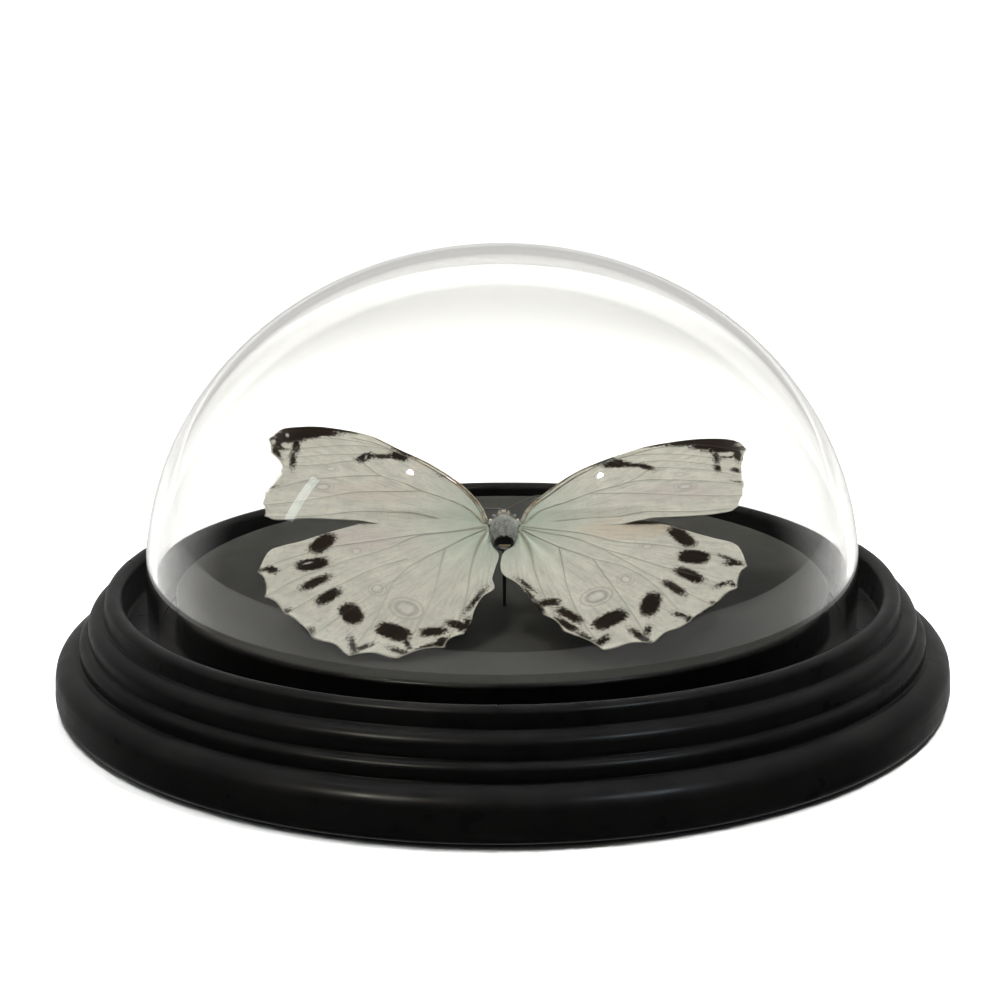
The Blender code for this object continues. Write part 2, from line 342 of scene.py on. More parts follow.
# %% Dust, relief and frayed marks
dust, given, give = new_group(
    "dust on upward faces", [("Where", VECTOR, None), ("Amount", VALUE, 0.3)], [("Mask", VALUE)]
)
facing = add(dust, "ShaderNodeSeparateXYZ", {0: add(dust, "ShaderNodeNewGeometry").outputs["Normal"]})
drift = ramp(dust, noise(dust, given["Where"], 45.0, 4.0), 0.35, 0.75)
mote_cells = add(dust, "ShaderNodeTexVoronoi", {"Vector": given["Where"], "Scale": 900.0})
motes = ramp(dust, mote_cells.outputs["Distance"], 0.16, 0.05)
sparse = ramp(dust, noise(dust, given["Where"], 260.0, 2.0), 0.52, 0.62)
layer = plus(dust, times(dust, drift, 0.35), times(dust, motes, sparse))
upward = ramp(dust, facing.outputs["Z"], 0.1, 0.9)
dusty = times(dust, times(dust, layer, upward), given["Amount"])
put(dust, math(dust, "MINIMUM", dusty, 1.0), give["Mask"])

grain, given, give = new_group(
    "fine relief", [("Where", VECTOR, None), ("Scale", VALUE, 800.0)], [("Height", VALUE), ("Shade", VALUE)]
)
fine = noise(grain, given["Where"], given["Scale"], 3.0, 0.6)
broad = noise(grain, given["Where"], times(grain, given["Scale"], 0.07), 2.0)
put(grain, plus(grain, times(grain, fine, 0.7), times(grain, broad, 0.3)), give["Height"])
put(grain, broad, give["Shade"])

fray, given, give = new_group(
    "frayed mark",
    [("Where", VECTOR, None), ("Distance", VALUE, 0.0), ("Fray", VALUE, 0.3), ("Soft", VALUE, 0.12)],
    [("Mask", VALUE)],
)
coarse = less(fray, noise(fray, given["Where"], 1.3, 2.0), 0.5)
scaly = less(fray, noise(fray, given["Where"], 5.5, 2.0), 0.5)
bite = times(fray, plus(fray, coarse, times(fray, scaly, 1.6)), given["Fray"])
moved = plus(fray, given["Distance"], times(fray, bite, 2.0))
put(fray, ramp(fray, moved, given["Soft"], times(fray, given["Soft"], -1.0)), give["Mask"])


def fine_finish(name, scale, strength, distance, **sockets):
    """A finish whose surface carries the fine relief at this scale; also gives the relief's values."""
    made, tree, shader = finish(name, **sockets)
    relief = use(tree, grain, Where=place_in(tree), Scale=scale)
    raised(tree, shader, relief["Height"], strength, distance)
    return made, tree, shader, relief


print("shared groups:", ", ".join(group.name for group in bpy.data.node_groups))

# %% [markdown]
# ## The turned base
# The base is one disc of wood turned on a lathe, primed and sprayed satin black. A flat middle
# carries the specimen, a groove round it takes the foot of the glass, and a rim, a bead, a fillet
# and a broad ovolo step down to the foot. Its profile is drawn with small rounds on every corner,
# since paint never leaves a sharp one, and spun in many steps, so that its highlights run smoothly.

# %% Base
BASE_STEPS = 384
TOP_HEIGHT, TOP_RADIUS, GROOVE_FLOOR = 26.3, 81.6, 17.0
RIM_INNER, RIM_OUTER, RIM_SHOULDER, RIM_CROWN = 94.4, 98.6, 24.9, 1.6
COLLAR, COLLAR_FOOT = 99.1, 21.9
BEAD, BEAD_TOP, BEAD_FOOT = 102.9, 19.0, 16.4
FILLET, FILLET_TOP, FILLET_FOOT = 105.3, 14.4, 12.2
OVOLO, OVOLO_FOOT, SIDE, FOOT_ROUND = 111.3, 7.2, 111.6, 2.2
BASE_BOTTOM, RECESS_RADIUS, RECESS_ROOF = 0.4, 99.8, 1.6


def base_profile():
    """From the middle of the top, out over the mouldings, and back under to the middle."""
    rim_half = (RIM_OUTER - RIM_INNER) / 2
    return np.vstack([
        line((0.0, TOP_HEIGHT), (TOP_RADIUS - 1.2, TOP_HEIGHT), 26),
        arc((TOP_RADIUS - 1.2, TOP_HEIGHT - 1.2), (1.2, 1.2), 90, 0, 8),
        line((TOP_RADIUS, TOP_HEIGHT - 1.4), (TOP_RADIUS, GROOVE_FLOOR + 1.0), 4),
        arc((TOP_RADIUS + 0.8, GROOVE_FLOOR + 0.8), (0.8, 0.8), 180, 270, 5),
        line((TOP_RADIUS + 1.2, GROOVE_FLOOR), (RIM_INNER - 1.0, GROOVE_FLOOR), 5),
        arc((RIM_INNER - 0.8, GROOVE_FLOOR + 0.8), (0.8, 0.8), 270, 360, 5),
        line((RIM_INNER, GROOVE_FLOOR + 1.2), (RIM_INNER, RIM_SHOULDER - 0.4), 4),
        arc((RIM_INNER + rim_half, RIM_SHOULDER), (rim_half, RIM_CROWN), 180, 0, 18),
        line((RIM_OUTER + 0.1, RIM_SHOULDER - 0.5), (COLLAR - 0.05, COLLAR_FOOT + 0.5), 4),
        arc((COLLAR + 0.35, COLLAR_FOOT + 0.3), (0.35, 0.35), 180, 260, 3),
        arc((COLLAR, BEAD_TOP), (BEAD - COLLAR, COLLAR_FOOT - BEAD_TOP), 82, 0, 14),
        line((BEAD, BEAD_TOP - 0.4), (BEAD, BEAD_FOOT + 0.5), 3),
        arc((BEAD + 0.35, BEAD_FOOT + 0.25), (0.35, 0.35), 180, 260, 3),
        arc((BEAD, FILLET_TOP), (FILLET - BEAD, BEAD_FOOT - FILLET_TOP), 74, 0, 9),
        line((FILLET, FILLET_TOP - 0.3), (FILLET, FILLET_FOOT + 0.5), 3),
        arc((FILLET + 0.35, FILLET_FOOT + 0.25), (0.35, 0.35), 180, 260, 3),
        arc((FILLET, OVOLO_FOOT), (OVOLO - FILLET, FILLET_FOOT - OVOLO_FOOT), 82, 0, 18),
        line((OVOLO + 0.1, OVOLO_FOOT - 0.5), (SIDE - 0.02, BASE_BOTTOM + FOOT_ROUND + 0.4), 4),
        arc((SIDE - FOOT_ROUND, BASE_BOTTOM + FOOT_ROUND), (FOOT_ROUND, FOOT_ROUND), 0, -90, 8),
        line((SIDE - FOOT_ROUND - 1.0, BASE_BOTTOM), (RECESS_RADIUS, BASE_BOTTOM), 4),
        line((RECESS_RADIUS, BASE_BOTTOM), (RECESS_RADIUS, RECESS_ROOF), 2),
        line((RECESS_RADIUS, RECESS_ROOF), (0.0, RECESS_ROOF), 10),
        [(0.0, RECESS_ROOF)],
    ])


points, faces = lathe(base_profile(), BASE_STEPS)

# %% [markdown]
# Sprayed satin paint over turned wood is never quite flat: fine rings of the tool show through it,
# the film has a faint orange-peel, dust settles in it, and the paint polishes thinner and greyer
# on the edges that hands touch. The rings are a wave across the radius, kept on the mesh. The flat
# middle is a shade lighter than the mouldings and much duller.

# %% Satin black paint
paint, tree, shader = finish("satin black paint", IOR=1.46, Specular_IOR_Level=0.025)
place = place_in(tree)
peel = use(tree, grain, Where=place, Scale=1500.0)
radius = kept(tree, "radius")
rings = math(tree, "SINE", times(tree, radius, 11.0))
rings = times(tree, rings, ramp(tree, noise(tree, place, 30.0, 2.0), 0.35, 0.7))
wear = ramp(tree, plus(tree, kept(tree, "edge"), times(tree, peel["Height"], 0.5)), 0.95, 1.35)
top = ramp(tree, radius, TOP_RADIUS - 0.2, TOP_RADIUS - 1.2)
lying = use(tree, dust, Where=place, Amount=0.13)["Mask"]
scratches = noise(tree, stretched(tree, place, (40.0, 900.0, 40.0)), 1.0, 2.0, 0.5)
scuffs = times(tree, ramp(tree, scratches, 0.66, 0.74), 0.12)
black = blend(tree, peel["Shade"], (0.0030, 0.0030, 0.0032, 1), (0.0062, 0.0060, 0.0058, 1))
black = blend(tree, times(tree, wear, 0.35), black, (0.030, 0.029, 0.027, 1))
flat_coat = blend(tree, noise(tree, place, 55.0, 4.0), (0.021, 0.021, 0.019, 1), (0.029, 0.029, 0.026, 1))
black = blend(tree, top, black, flat_coat)
black = blend(tree, lying, black, (0.075, 0.072, 0.066, 1))
coloured(tree, shader, black)
sheen = plus(tree, ramp(tree, peel["Shade"], 0.3, 0.7, 0.27, 0.36), scuffs)
sheen = plus(tree, sheen, times(tree, lying, 0.5))
sheen = plus(tree, sheen, times(tree, top, 0.42))
put(tree, less(tree, sheen, times(tree, wear, 0.08)), shader.inputs["Roughness"])
relief = plus(tree, times(tree, peel["Height"], 0.5), times(tree, rings, 0.10))
raised(tree, shader, relief, 0.06, 0.0001)

# %% [markdown]
# Wear needs to know where the edges are. On a surface of revolution that is the bend of the
# profile: the turn from one step of it to the next, per millimetre.

# %% Put the base together
profile = base_profile()[1:-1]
steps = np.diff(np.vstack([profile[:1] - (1, 0), profile, profile[-1:] - (1, 0)]), axis=0)
heading = np.unwrap(np.arctan2(steps[:, 1], steps[:, 0]))
bend = -np.diff(heading) / np.maximum(np.linalg.norm(steps[1:], axis=1), 0.15)
edge_of = np.append(np.repeat(np.clip(bend, 0, 1), BASE_STEPS), [0, 0])
radius_of = np.hypot(points[:, 0], points[:, 1])
base = new_piece(
    "base_turned", points, faces, [paint], notes={"radius": radius_of, "edge": edge_of}
)
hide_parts("turned_base")

# %% [markdown]
# ## The felt pad
# A disc of felt let into the underside keeps the base from scratching a table. Felt is matted wool:
# its face rises and falls by a tenth of a millimetre, and loose fibres stand off it. The disc is
# a lathe shape whose lower face is moved by a few crossed waves, and the fibres are shaded.

# %% Felt
FELT_RADIUS, FELT_TOP = 99.5, 1.3
points, faces = lathe(
    np.vstack([
        line((0.0, FELT_TOP), (FELT_RADIUS - 0.2, FELT_TOP), 8),
        arc((FELT_RADIUS - 0.3, FELT_TOP - 0.3), (0.3, 0.3), 90, 0, 3),
        arc((FELT_RADIUS - 0.3, 0.3), (0.3, 0.3), 0, -90, 3),
        line((FELT_RADIUS - 0.6, 0.0), (0.0, 0.0), 60),
        [(0.0, 0.0)],
    ]),
    200,
)
x, y = points[:, 0], points[:, 1]
matting = np.sin(1.9 * x + 2.3 * np.sin(0.7 * y)) * np.sin(2.1 * y + 1.7 * np.sin(0.9 * x))
points[:, 2] += np.where(points[:, 2] < 0.05, 0.05 + 0.05 * matting, 0.0)
wool, tree, shader = finish("black felt", Roughness=0.95, Sheen_Weight=0.35, Sheen_Roughness=0.6)
place = place_in(tree)
twist = add(tree, "ShaderNodeTexNoise", {"Vector": place, "Scale": 260.0, "Detail": 2.0}).outputs["Color"]
crossed = add(tree, "ShaderNodeVectorMath", {0: place, 1: add(
    tree, "ShaderNodeVectorMath", {0: twist, "Scale": 0.004}, operation="SCALE").outputs[0]}, operation="ADD")
strands = add(tree, "ShaderNodeTexWave", {"Vector": crossed.outputs[0], "Scale": 900.0, "Distortion": 9.0,
                                        "Detail": 3.0, "Detail Scale": 1.4}).outputs["Fac"]
matted = use(tree, grain, Where=place, Scale=2600.0)
fibre = plus(tree, times(tree, strands, 0.5), times(tree, matted["Height"], 0.6))
lying = use(tree, dust, Where=place, Amount=0.3)["Mask"]
grey = blend(tree, fibre, (0.008, 0.008, 0.009, 1), (0.045, 0.044, 0.046, 1))
coloured(tree, shader, blend(tree, lying, grey, (0.16, 0.15, 0.14, 1)))
raised(tree, shader, fibre, 0.9, 0.0003)
pad = new_piece("pad_felt", points, faces, [wool])
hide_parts("felt_pad")

# %% [markdown]
# ## The glass dome
# The dome is blown glass, 2.6 mm thick, with a short straight wall and a low elliptical crown. Its
# foot is ground flat and its two edges are eased. The profile climbs down the outside, round the
# foot, and up the inside, so the wall is closed. Blown glass is a little uneven, which bends the
# reflections: the radius moves by a few hundredths of a millimetre in slow waves.

# %% Dome
DOME_RADIUS, DOME_SPRING, DOME_TOP, GLASS, DOME_FOOT = 88.4, 30.0, 109.3, 2.6, 17.3
crown = DOME_TOP - DOME_SPRING
inside = DOME_RADIUS - GLASS
points, faces = lathe(
    np.vstack([
        arc((0.0, DOME_SPRING), (DOME_RADIUS, crown), 90, 0, 72),
        line((DOME_RADIUS, DOME_SPRING - 1.2), (DOME_RADIUS, DOME_FOOT + 0.9), 8),
        arc((DOME_RADIUS - 0.7, DOME_FOOT + 0.7), (0.7, 0.7), 0, -90, 5),
        arc((inside + 0.7, DOME_FOOT + 0.7), (0.7, 0.7), -90, -180, 5),
        line((inside, DOME_FOOT + 0.9), (inside, DOME_SPRING), 8),
        arc((0.0, DOME_SPRING), (inside, crown - GLASS), 0, 90, 72),
    ]),
    320,
)
turn = np.arctan2(points[:, 1], points[:, 0])
high = points[:, 2]
sway = 0.05 * np.sin(2 * turn + 0.09 * high) + 0.035 * np.sin(3 * turn - 0.13 * high + 1.1)
points[:, :2] *= 1 + (sway * np.clip((DOME_TOP - high) / 12, 0, 1) / DOME_RADIUS)[:, None]

# %% [markdown]
# Clear glass is a plain material: full transmission, an index of 1.47, and nothing painted on it.
# The faint warm grey of the real dome comes from the light that its thickness takes up, which
# the Principled shader has no socket for, so the base colour is a touch under white. A few wipe
# marks lie on the outside and show mostly in the roughness.

# %% Clear glass
GLASS_INDEX = 1.47
clear, tree, shader = finish("clear glass", Transmission_Weight=1.0, IOR=GLASS_INDEX, Roughness=0.0)
place = place_in(tree)
smear = noise(tree, stretched(tree, place, (14.0, 60.0, 22.0), (0.3, 0.7, 0.2)), 1.0, 4.0, 0.5)
tint = blend(tree, ramp(tree, smear, 0.35, 0.75), (0.985, 0.982, 0.968, 1), (0.968, 0.966, 0.952, 1))
coloured(tree, shader, tint)
put(tree, ramp(tree, smear, 0.55, 0.85, 0.0, 0.012), shader.inputs["Roughness"])
dome = new_piece("dome_blown_glass", points, faces, [clear])
dome.visible_shadow = False
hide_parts("glass_dome")

# %% [markdown]
# ## The wings
# A butterfly's wing is a membrane a few hundredths of a millimetre thick, stretched over veins and
# covered with scales. Each of the four has its own outline, in its own plane: x runs outwards from
# the root and y forwards, in millimetres. The front edge runs to the wing's corner, the veins end
# along the margin with a shallow scallop between them, and the rear edge runs back to the root.
# Left and right are drawn separately, because this specimen has torn and faded unevenly.
#
# A mark is a leaf shape, given by its two ends and its half width. A vein is a path, given by its
# points, its width at each end and its tone. An eyespot is a set of rings, given by its middle, its
# two half widths, its turn in degrees and its strength. Those few lists draw the whole pattern.

# %% Wing outlines
WINGS = {
    "forewing_left": {
        "side": -1, "hind": False, "tilt": (24.0, 2.0, 0.8), "dip": 0.35,
        "front": ((0.9, 1.6), (3.8, 6.7), (11.6, 16.5), (17.4, 21.6), (24.0, 27.0), (30.0, 31.6),
                  (36.0, 34.0), (44.0, 35.5), (50.0, 35.2), (53.4, 34.1), (55.8, 30.0)),
        "tips": ((55.8, 30.0), (54.7, 24.4), (51.0, 18.6), (54.4, 9.0), (54.6, 4.0), (53.6, -0.9)),
        "rear": ((53.6, -0.9), (50.7, -2.3), (43.0, -1.6), (35.0, -1.6), (27.4, -1.7), (14.0, -2.0),
                 (3.0, -2.3), (0.9, -1.6)),
    },
    "forewing_right": {
        "side": 1, "hind": False, "tilt": (18.0, 3.6, -0.8), "dip": 0.35,
        "front": ((0.9, 1.6), (2.8, 5.2), (6.4, 10.6), (11.6, 16.7), (17.1, 21.8), (24.1, 26.0),
                  (32.0, 30.5), (40.6, 32.6), (47.1, 33.4), (52.3, 33.0), (55.6, 31.2), (56.9, 27.6)),
        "tips": ((56.9, 27.6), (55.2, 21.6), (54.6, 16.0), (54.8, 11.0), (54.0, 5.8), (52.6, 1.4)),
        "rear": ((52.6, 1.4), (51.0, -0.6), (47.0, -1.6), (43.0, -2.2), (34.7, -2.5), (14.0, -2.5),
                 (3.0, -2.3), (0.9, -1.6)),
    },
    "hindwing_left": {
        "side": -1, "hind": True, "tilt": (24.0, 1.5, 1.0), "dip": 1.0,
        "front": ((0.9, 1.2), (11.2, 2.6), (20.8, 2.6), (27.5, 1.3), (33.0, -1.4), (39.0, -4.4),
                  (44.8, -7.2), (49.0, -8.9), (52.0, -11.2), (53.7, -18.0)),
        "tips": ((53.7, -18.0), (51.0, -27.2), (46.2, -32.8), (39.6, -40.3), (30.8, -46.2),
                 (20.0, -46.8), (10.0, -43.4), (5.6, -39.0)),
        "rear": ((5.6, -39.0), (4.0, -34.4), (3.4, -30.6), (1.6, -25.8), (-1.0, -22.4), (-0.5, -18.8),
                 (-1.2, -14.6), (-1.9, -10.4), (-0.4, -7.2), (0.2, -3.0), (0.6, -0.6)),
    },
    "hindwing_right": {
        "side": 1, "hind": True, "tilt": (20.0, 2.7, -1.5), "dip": 0.8,
        "front": ((0.9, 1.2), (10.1, 2.2), (18.3, 2.2), (26.7, 1.5), (32.8, -0.2), (38.7, -3.1),
                  (46.8, -7.1), (50.8, -9.2), (52.4, -12.0), (53.3, -17.4)),
        "tips": ((53.3, -17.4), (50.3, -26.8), (44.8, -32.9), (39.4, -38.7), (30.6, -45.6),
                 (20.0, -48.0), (11.4, -41.4), (6.6, -34.6)),
        "rear": ((6.6, -34.6), (5.0, -31.0), (3.1, -27.4), (0.7, -23.4), (-2.4, -19.6), (-3.4, -16.6),
                 (-3.3, -12.2), (-2.4, -9.6), (-0.4, -7.0), (0.2, -3.0), (0.6, -0.6)),
    },
}

# %% Veins: points, width at the root and at the margin, tone from pale 0 to dark brown 1
VEINS = {
    "forewing_left": [
        (((1.0, 1.2), (3.2, 6.2), (7.2, 12.4), (11.9, 17.4), (17.8, 22.3), (24.0, 26.7),
          (30.5, 31.4)), 0.42, 0.16, 1.0),
        (((1.3, 0.6), (4.4, 7.0), (8.3, 12.6), (13.1, 17.2), (20.2, 22.8), (24.1, 25.2), (29.7, 28.6),
          (36.1, 31.0)), 0.34, 0.08, 0.8),
        (((1.6, 0.4), (7.0, 5.1), (12.0, 7.9), (17.2, 10.3), (21.6, 12.9), (27.1, 15.4), (31.5, 20.1),
          (32.8, 21.6)), 0.20, 0.11, 0.75),
        (((17.2, 10.2), (24.1, 9.4), (33.9, 8.3), (38.7, 6.9), (47.6, 4.6), (54.4, 3.2)), 0.12, 0.07, 0.55),
        (((27.1, 15.4), (33.2, 15.2), (39.2, 14.2), (45.3, 12.9), (54.0, 9.2)), 0.12, 0.06, 0.5),
        (((32.8, 21.5), (37.0, 20.8), (41.5, 19.4), (50.6, 18.4)), 0.10, 0.05, 0.3),
        (((1.6, -0.9), (8.0, 0.0), (17.4, 1.9), (23.1, 2.1), (28.3, 1.7), (34.2, 1.1), (43.0, -1.0),
          (53.2, -1.2)), 0.20, 0.06, 0.5),
        (((24.1, 25.6), (29.6, 26.9), (35.8, 27.4), (41.2, 27.2), (52.4, 25.6)), 0.11, 0.06, 0.3),
        (((30.5, 23.8), (37.1, 23.7), (42.6, 23.4), (52.6, 21.6)), 0.10, 0.05, 0.25),
        (((20.2, 22.8), (25.7, 25.9), (32.1, 28.6), (42.6, 30.6), (55.2, 28.2)), 0.14, 0.06, 0.3),
    ],
    "forewing_right": [
        (((1.0, 1.0), (3.0, 5.2), (6.5, 10.4), (11.6, 16.3), (17.0, 21.3), (24.2, 25.7)), 0.42, 0.16, 1.0),
        (((1.2, 0.4), (4.1, 5.8), (8.8, 11.3), (14.7, 17.6), (20.7, 22.6), (27.1, 25.6), (32.8, 28.7),
          (38.8, 30.6)), 0.34, 0.08, 0.75),
        (((1.6, 0.4), (6.8, 4.2), (12.6, 6.9), (17.3, 9.3), (22.0, 11.3), (26.7, 13.4), (31.4, 17.6),
          (33.0, 19.8)), 0.19, 0.09, 0.55),
        (((26.7, 13.4), (31.4, 14.4), (38.0, 13.8), (43.8, 12.9), (54.5, 11.0)), 0.12, 0.06, 0.4),
        (((17.3, 9.3), (24.3, 8.9), (30.4, 8.4), (39.6, 6.8), (53.8, 5.6)), 0.11, 0.06, 0.35),
        (((1.6, -0.9), (6.8, 0.0), (14.4, 0.6), (20.2, 0.6), (29.6, 0.3), (39.1, -0.6),
          (52.0, 0.2)), 0.20, 0.06, 0.4),
        (((24.3, 25.2), (28.7, 26.1), (36.0, 26.4), (44.0, 25.0), (55.2, 21.6)), 0.12, 0.06, 0.3),
        (((31.0, 22.6), (38.5, 22.7), (47.9, 20.6), (54.7, 16.2)), 0.10, 0.05, 0.3),
        (((32.8, 19.8), (38.3, 19.4), (47.6, 17.9), (54.4, 14.4)), 0.10, 0.05, 0.25),
        (((20.7, 22.6), (28.0, 27.0), (36.0, 29.6), (46.0, 29.8), (56.4, 26.6)), 0.13, 0.06, 0.3),
    ],
    "hindwing_left": [
        (((1.4, 0.6), (9.8, -2.2), (19.0, -4.6), (26.3, -6.3), (32.9, -8.3), (42.0, -11.4),
          (53.4, -17.4)), 0.18, 0.06, 0.5),
        (((1.4, 0.1), (11.6, -2.9), (17.9, -4.9), (22.5, -8.3), (27.5, -11.4), (35.0, -15.0), (44.0, -20.6),
          (50.8, -26.8)), 0.18, 0.06, 0.55),
        (((1.3, -0.5), (6.4, -4.4), (10.7, -8.6), (15.0, -12.2), (18.5, -15.2)), 0.22, 0.13, 0.65),
        (((18.5, -15.2), (21.9, -20.9), (23.8, -27.1), (25.9, -35.0), (30.6, -45.6)), 0.12, 0.06, 0.35),
        (((10.7, -8.6), (11.6, -14.9), (12.3, -21.7), (14.0, -30.4), (19.6, -46.2)), 0.12, 0.06, 0.4),
        (((1.2, -1.2), (3.4, -8.0), (4.6, -16.4), (5.4, -26.9), (7.2, -35.0),
          (9.8, -42.8)), 0.16, 0.07, 0.5),
        (((19.4, -13.0), (24.0, -15.4), (29.4, -18.9), (37.6, -25.4), (45.8, -32.4)), 0.11, 0.06, 0.35),
        (((21.9, -20.9), (26.8, -26.0), (32.6, -32.4), (39.3, -39.8)), 0.11, 0.06, 0.35),
    ],
    "hindwing_right": [
        (((1.2, 0.5), (9.0, -1.9), (17.0, -4.6), (24.8, -8.0), (31.4, -9.4), (40.0, -11.6),
          (53.0, -16.8)), 0.17, 0.06, 0.4),
        (((1.2, -0.1), (8.5, -3.4), (14.6, -6.4), (20.0, -10.2), (26.8, -14.2), (36.9, -19.4),
          (50.0, -26.4)), 0.17, 0.06, 0.4),
        (((1.1, -0.7), (6.6, -6.0), (10.4, -9.4), (15.0, -12.2), (18.1, -14.4)), 0.22, 0.13, 0.7),
        (((18.1, -14.4), (20.3, -20.2), (22.5, -25.3), (25.8, -33.2), (30.3, -45.0)), 0.13, 0.06, 0.5),
        (((10.1, -9.2), (11.2, -17.2), (12.0, -24.8), (14.6, -35.3), (19.6, -47.3)), 0.14, 0.06, 0.55),
        (((1.0, -1.4), (3.3, -9.0), (4.6, -18.3), (6.6, -27.1), (9.2, -35.0),
          (11.2, -40.9)), 0.16, 0.06, 0.55),
        (((18.1, -14.4), (25.6, -18.4), (31.3, -24.2), (39.1, -38.2)), 0.11, 0.05, 0.3),
        (((20.0, -10.2), (25.6, -16.0), (33.0, -22.7), (44.5, -32.5)), 0.11, 0.05, 0.35),
    ],
}

# %% Marks: two ends and half width of each dark leaf, then of each pale one, then each eyespot
DARK = {
    "forewing_left": [
        (33.5, 33.4, 44.0, 35.4, 1.0), (38.0, 33.2, 54.0, 34.4, 2.2), (42.0, 33.0, 53.5, 32.6, 2.6),
        (46.5, 31.4, 54.6, 31.2, 2.5), (50.8, 28.2, 56.2, 29.4, 1.9), (49.0, 30.6, 48.8, 24.6, 0.9),
        (49.4, 25.0, 48.9, 18.3, 0.7), (51.2, 25.9, 55.0, 26.8, 0.7), (54.6, 27.6, 52.7, 21.9, 0.9),
        (20.8, 22.6, 25.6, 24.5, 1.5), (19.6, 23.2, 24.6, 26.7, 0.6), (24.0, 23.6, 30.4, 23.2, 0.85),
        (29.9, 24.2, 33.3, 21.1, 1.35), (10.7, 16.0, 12.5, 16.4, 0.3), (52.6, 10.6, 54.6, 9.6, 0.3),
    ],
    "forewing_right": [
        (31.5, 30.4, 40.0, 32.0, 0.6), (36.5, 31.4, 54.0, 32.2, 1.9), (43.0, 29.8, 55.5, 31.0, 2.5),
        (46.5, 27.6, 57.2, 28.2, 1.4), (53.6, 29.0, 55.4, 21.2, 1.3), (49.2, 27.0, 49.3, 21.2, 0.7),
        (49.0, 20.6, 49.3, 17.4, 0.8), (52.6, 18.4, 55.0, 16.8, 1.0), (50.0, 24.4, 55.0, 23.8, 0.5),
        (20.9, 22.8, 28.2, 22.0, 1.5), (23.0, 24.6, 27.0, 22.9, 0.9), (26.2, 21.8, 31.1, 21.1, 0.85),
        (29.6, 21.8, 33.5, 19.0, 1.1), (19.0, 22.6, 24.3, 25.8, 0.5), (53.3, 12.4, 55.0, 11.9, 0.2),
    ],
    "hindwing_left": [
        (37.6, -4.7, 41.7, -11.5, 2.3), (37.8, -14.4, 45.2, -16.8, 2.1), (37.2, -19.4, 43.2, -24.3, 1.4),
        (34.5, -24.4, 39.2, -29.4, 1.7), (32.9, -29.3, 29.5, -35.7, 2.5), (17.6, -40.0, 25.2, -36.6, 2.5),
        (9.4, -37.5, 15.4, -38.5, 1.4), (5.5, -36.4, 9.6, -34.4, 1.3), (4.1, -34.9, 6.9, -37.6, 1.12),
        (9.3, -40.2, 11.7, -43.4, 1.4), (49.4, -18.7, 51.9, -16.9, 1.12), (50.6, -17.3, 53.8, -17.8, 0.62),
        (45.3, -31.0, 46.4, -33.0, 0.72), (39.8, -37.4, 40.6, -40.4, 0.92), (30.9, -40.6, 29.4, -46.0, 0.72),
        (26.1, -42.6, 30.0, -44.8, 0.67), (16.9, -45.9, 21.8, -43.6, 0.72), (18.8, -40.0, 17.6, -43.4, 0.57),
        (10.8, -41.5, 18.8, -46.2, 0.77), (1.4, -23.6, 4.9, -30.3, 0.57), (4.7, -33.3, 5.3, -37.7, 0.82),
    ],
    "hindwing_right": [
        (36.6, -2.7, 41.4, -10.3, 2.1), (37.8, -13.9, 45.0, -15.1, 2.7), (37.1, -18.8, 42.9, -23.8, 1.8),
        (34.3, -23.6, 38.6, -28.7, 1.3), (31.9, -27.9, 29.7, -36.1, 2.2), (18.0, -40.1, 25.2, -34.6, 2.4),
        (9.7, -33.2, 15.4, -37.9, 1.3), (5.4, -30.5, 10.4, -31.0, 1.4), (4.7, -29.8, 6.4, -34.4, 0.92),
        (9.2, -36.7, 14.4, -41.1, 1.12), (14.7, -41.3, 18.2, -46.7, 0.82), (21.0, -43.2, 17.8, -47.2, 1.0),
        (26.2, -40.9, 30.6, -46.4, 1.02), (30.2, -39.7, 29.5, -42.9, 0.67), (38.8, -36.6, 39.8, -39.2, 0.87),
        (36.0, -35.4, 38.9, -36.7, 0.62), (49.4, -24.4, 50.3, -26.2, 0.72), (46.2, -25.6, 49.2, -24.0, 0.57),
        (44.7, -31.3, 45.4, -33.1, 0.72), (48.4, -17.0, 52.4, -16.7, 1.0), (47.8, -14.1, 52.9, -17.5, 0.57),
        (1.0, -22.0, 4.1, -25.2, 0.52), (2.2, -24.6, 4.8, -29.6, 0.52),
    ],
}
PALE = {
    "forewing_left": [
        (52.4, 28.4, 50.5, 26.7, 0.9), (54.7, 29.6, 54.5, 27.7, 0.5), (51.6, 32.6, 51.3, 31.1, 0.35),
        (31.2, 23.3, 31.4, 22.1, 0.2),
    ],
    "forewing_right": [(53.6, 26.4, 51.5, 24.5, 0.8), (52.0, 23.2, 50.9, 17.4, 1.1)],
    "hindwing_left": [(41.7, -14.9, 43.4, -15.6, 0.25)],
    "hindwing_right": [],
}
RINGS = {
    "forewing_left": [(39.5, 17.9, 1.9, 1.4, 0, 0.55), (41.0, 10.8, 2.6, 1.9, 0, 0.8)],
    "forewing_right": [(39.9, 16.5, 2.0, 1.2, 0, 0.6), (40.8, 10.7, 2.6, 1.8, 0, 0.65)],
    "hindwing_left": [
        (31.5, -10.7, 1.8, 1.6, 0, 0.6), (25.8, -24.0, 2.0, 2.2, 0, 0.65),
        (18.9, -30.5, 4.2, 3.1, 40, 0.9),
    ],
    "hindwing_right": [
        (30.8, -10.1, 1.9, 1.4, 0, 0.6), (25.4, -22.6, 1.9, 2.0, 0, 0.7),
        (18.7, -28.8, 3.9, 2.8, 36, 0.9),
    ],
}
print("marks:", {name: len(DARK[name]) for name in WINGS})

# %% [markdown]
# Two distances do most of the work. The first is from a point to a path, the shortest way to any of
# its stretches. The second is from a point to a leaf: the point is measured along and across the
# leaf, each as a share of the half length and half width, and the two are joined by Pythagoras.


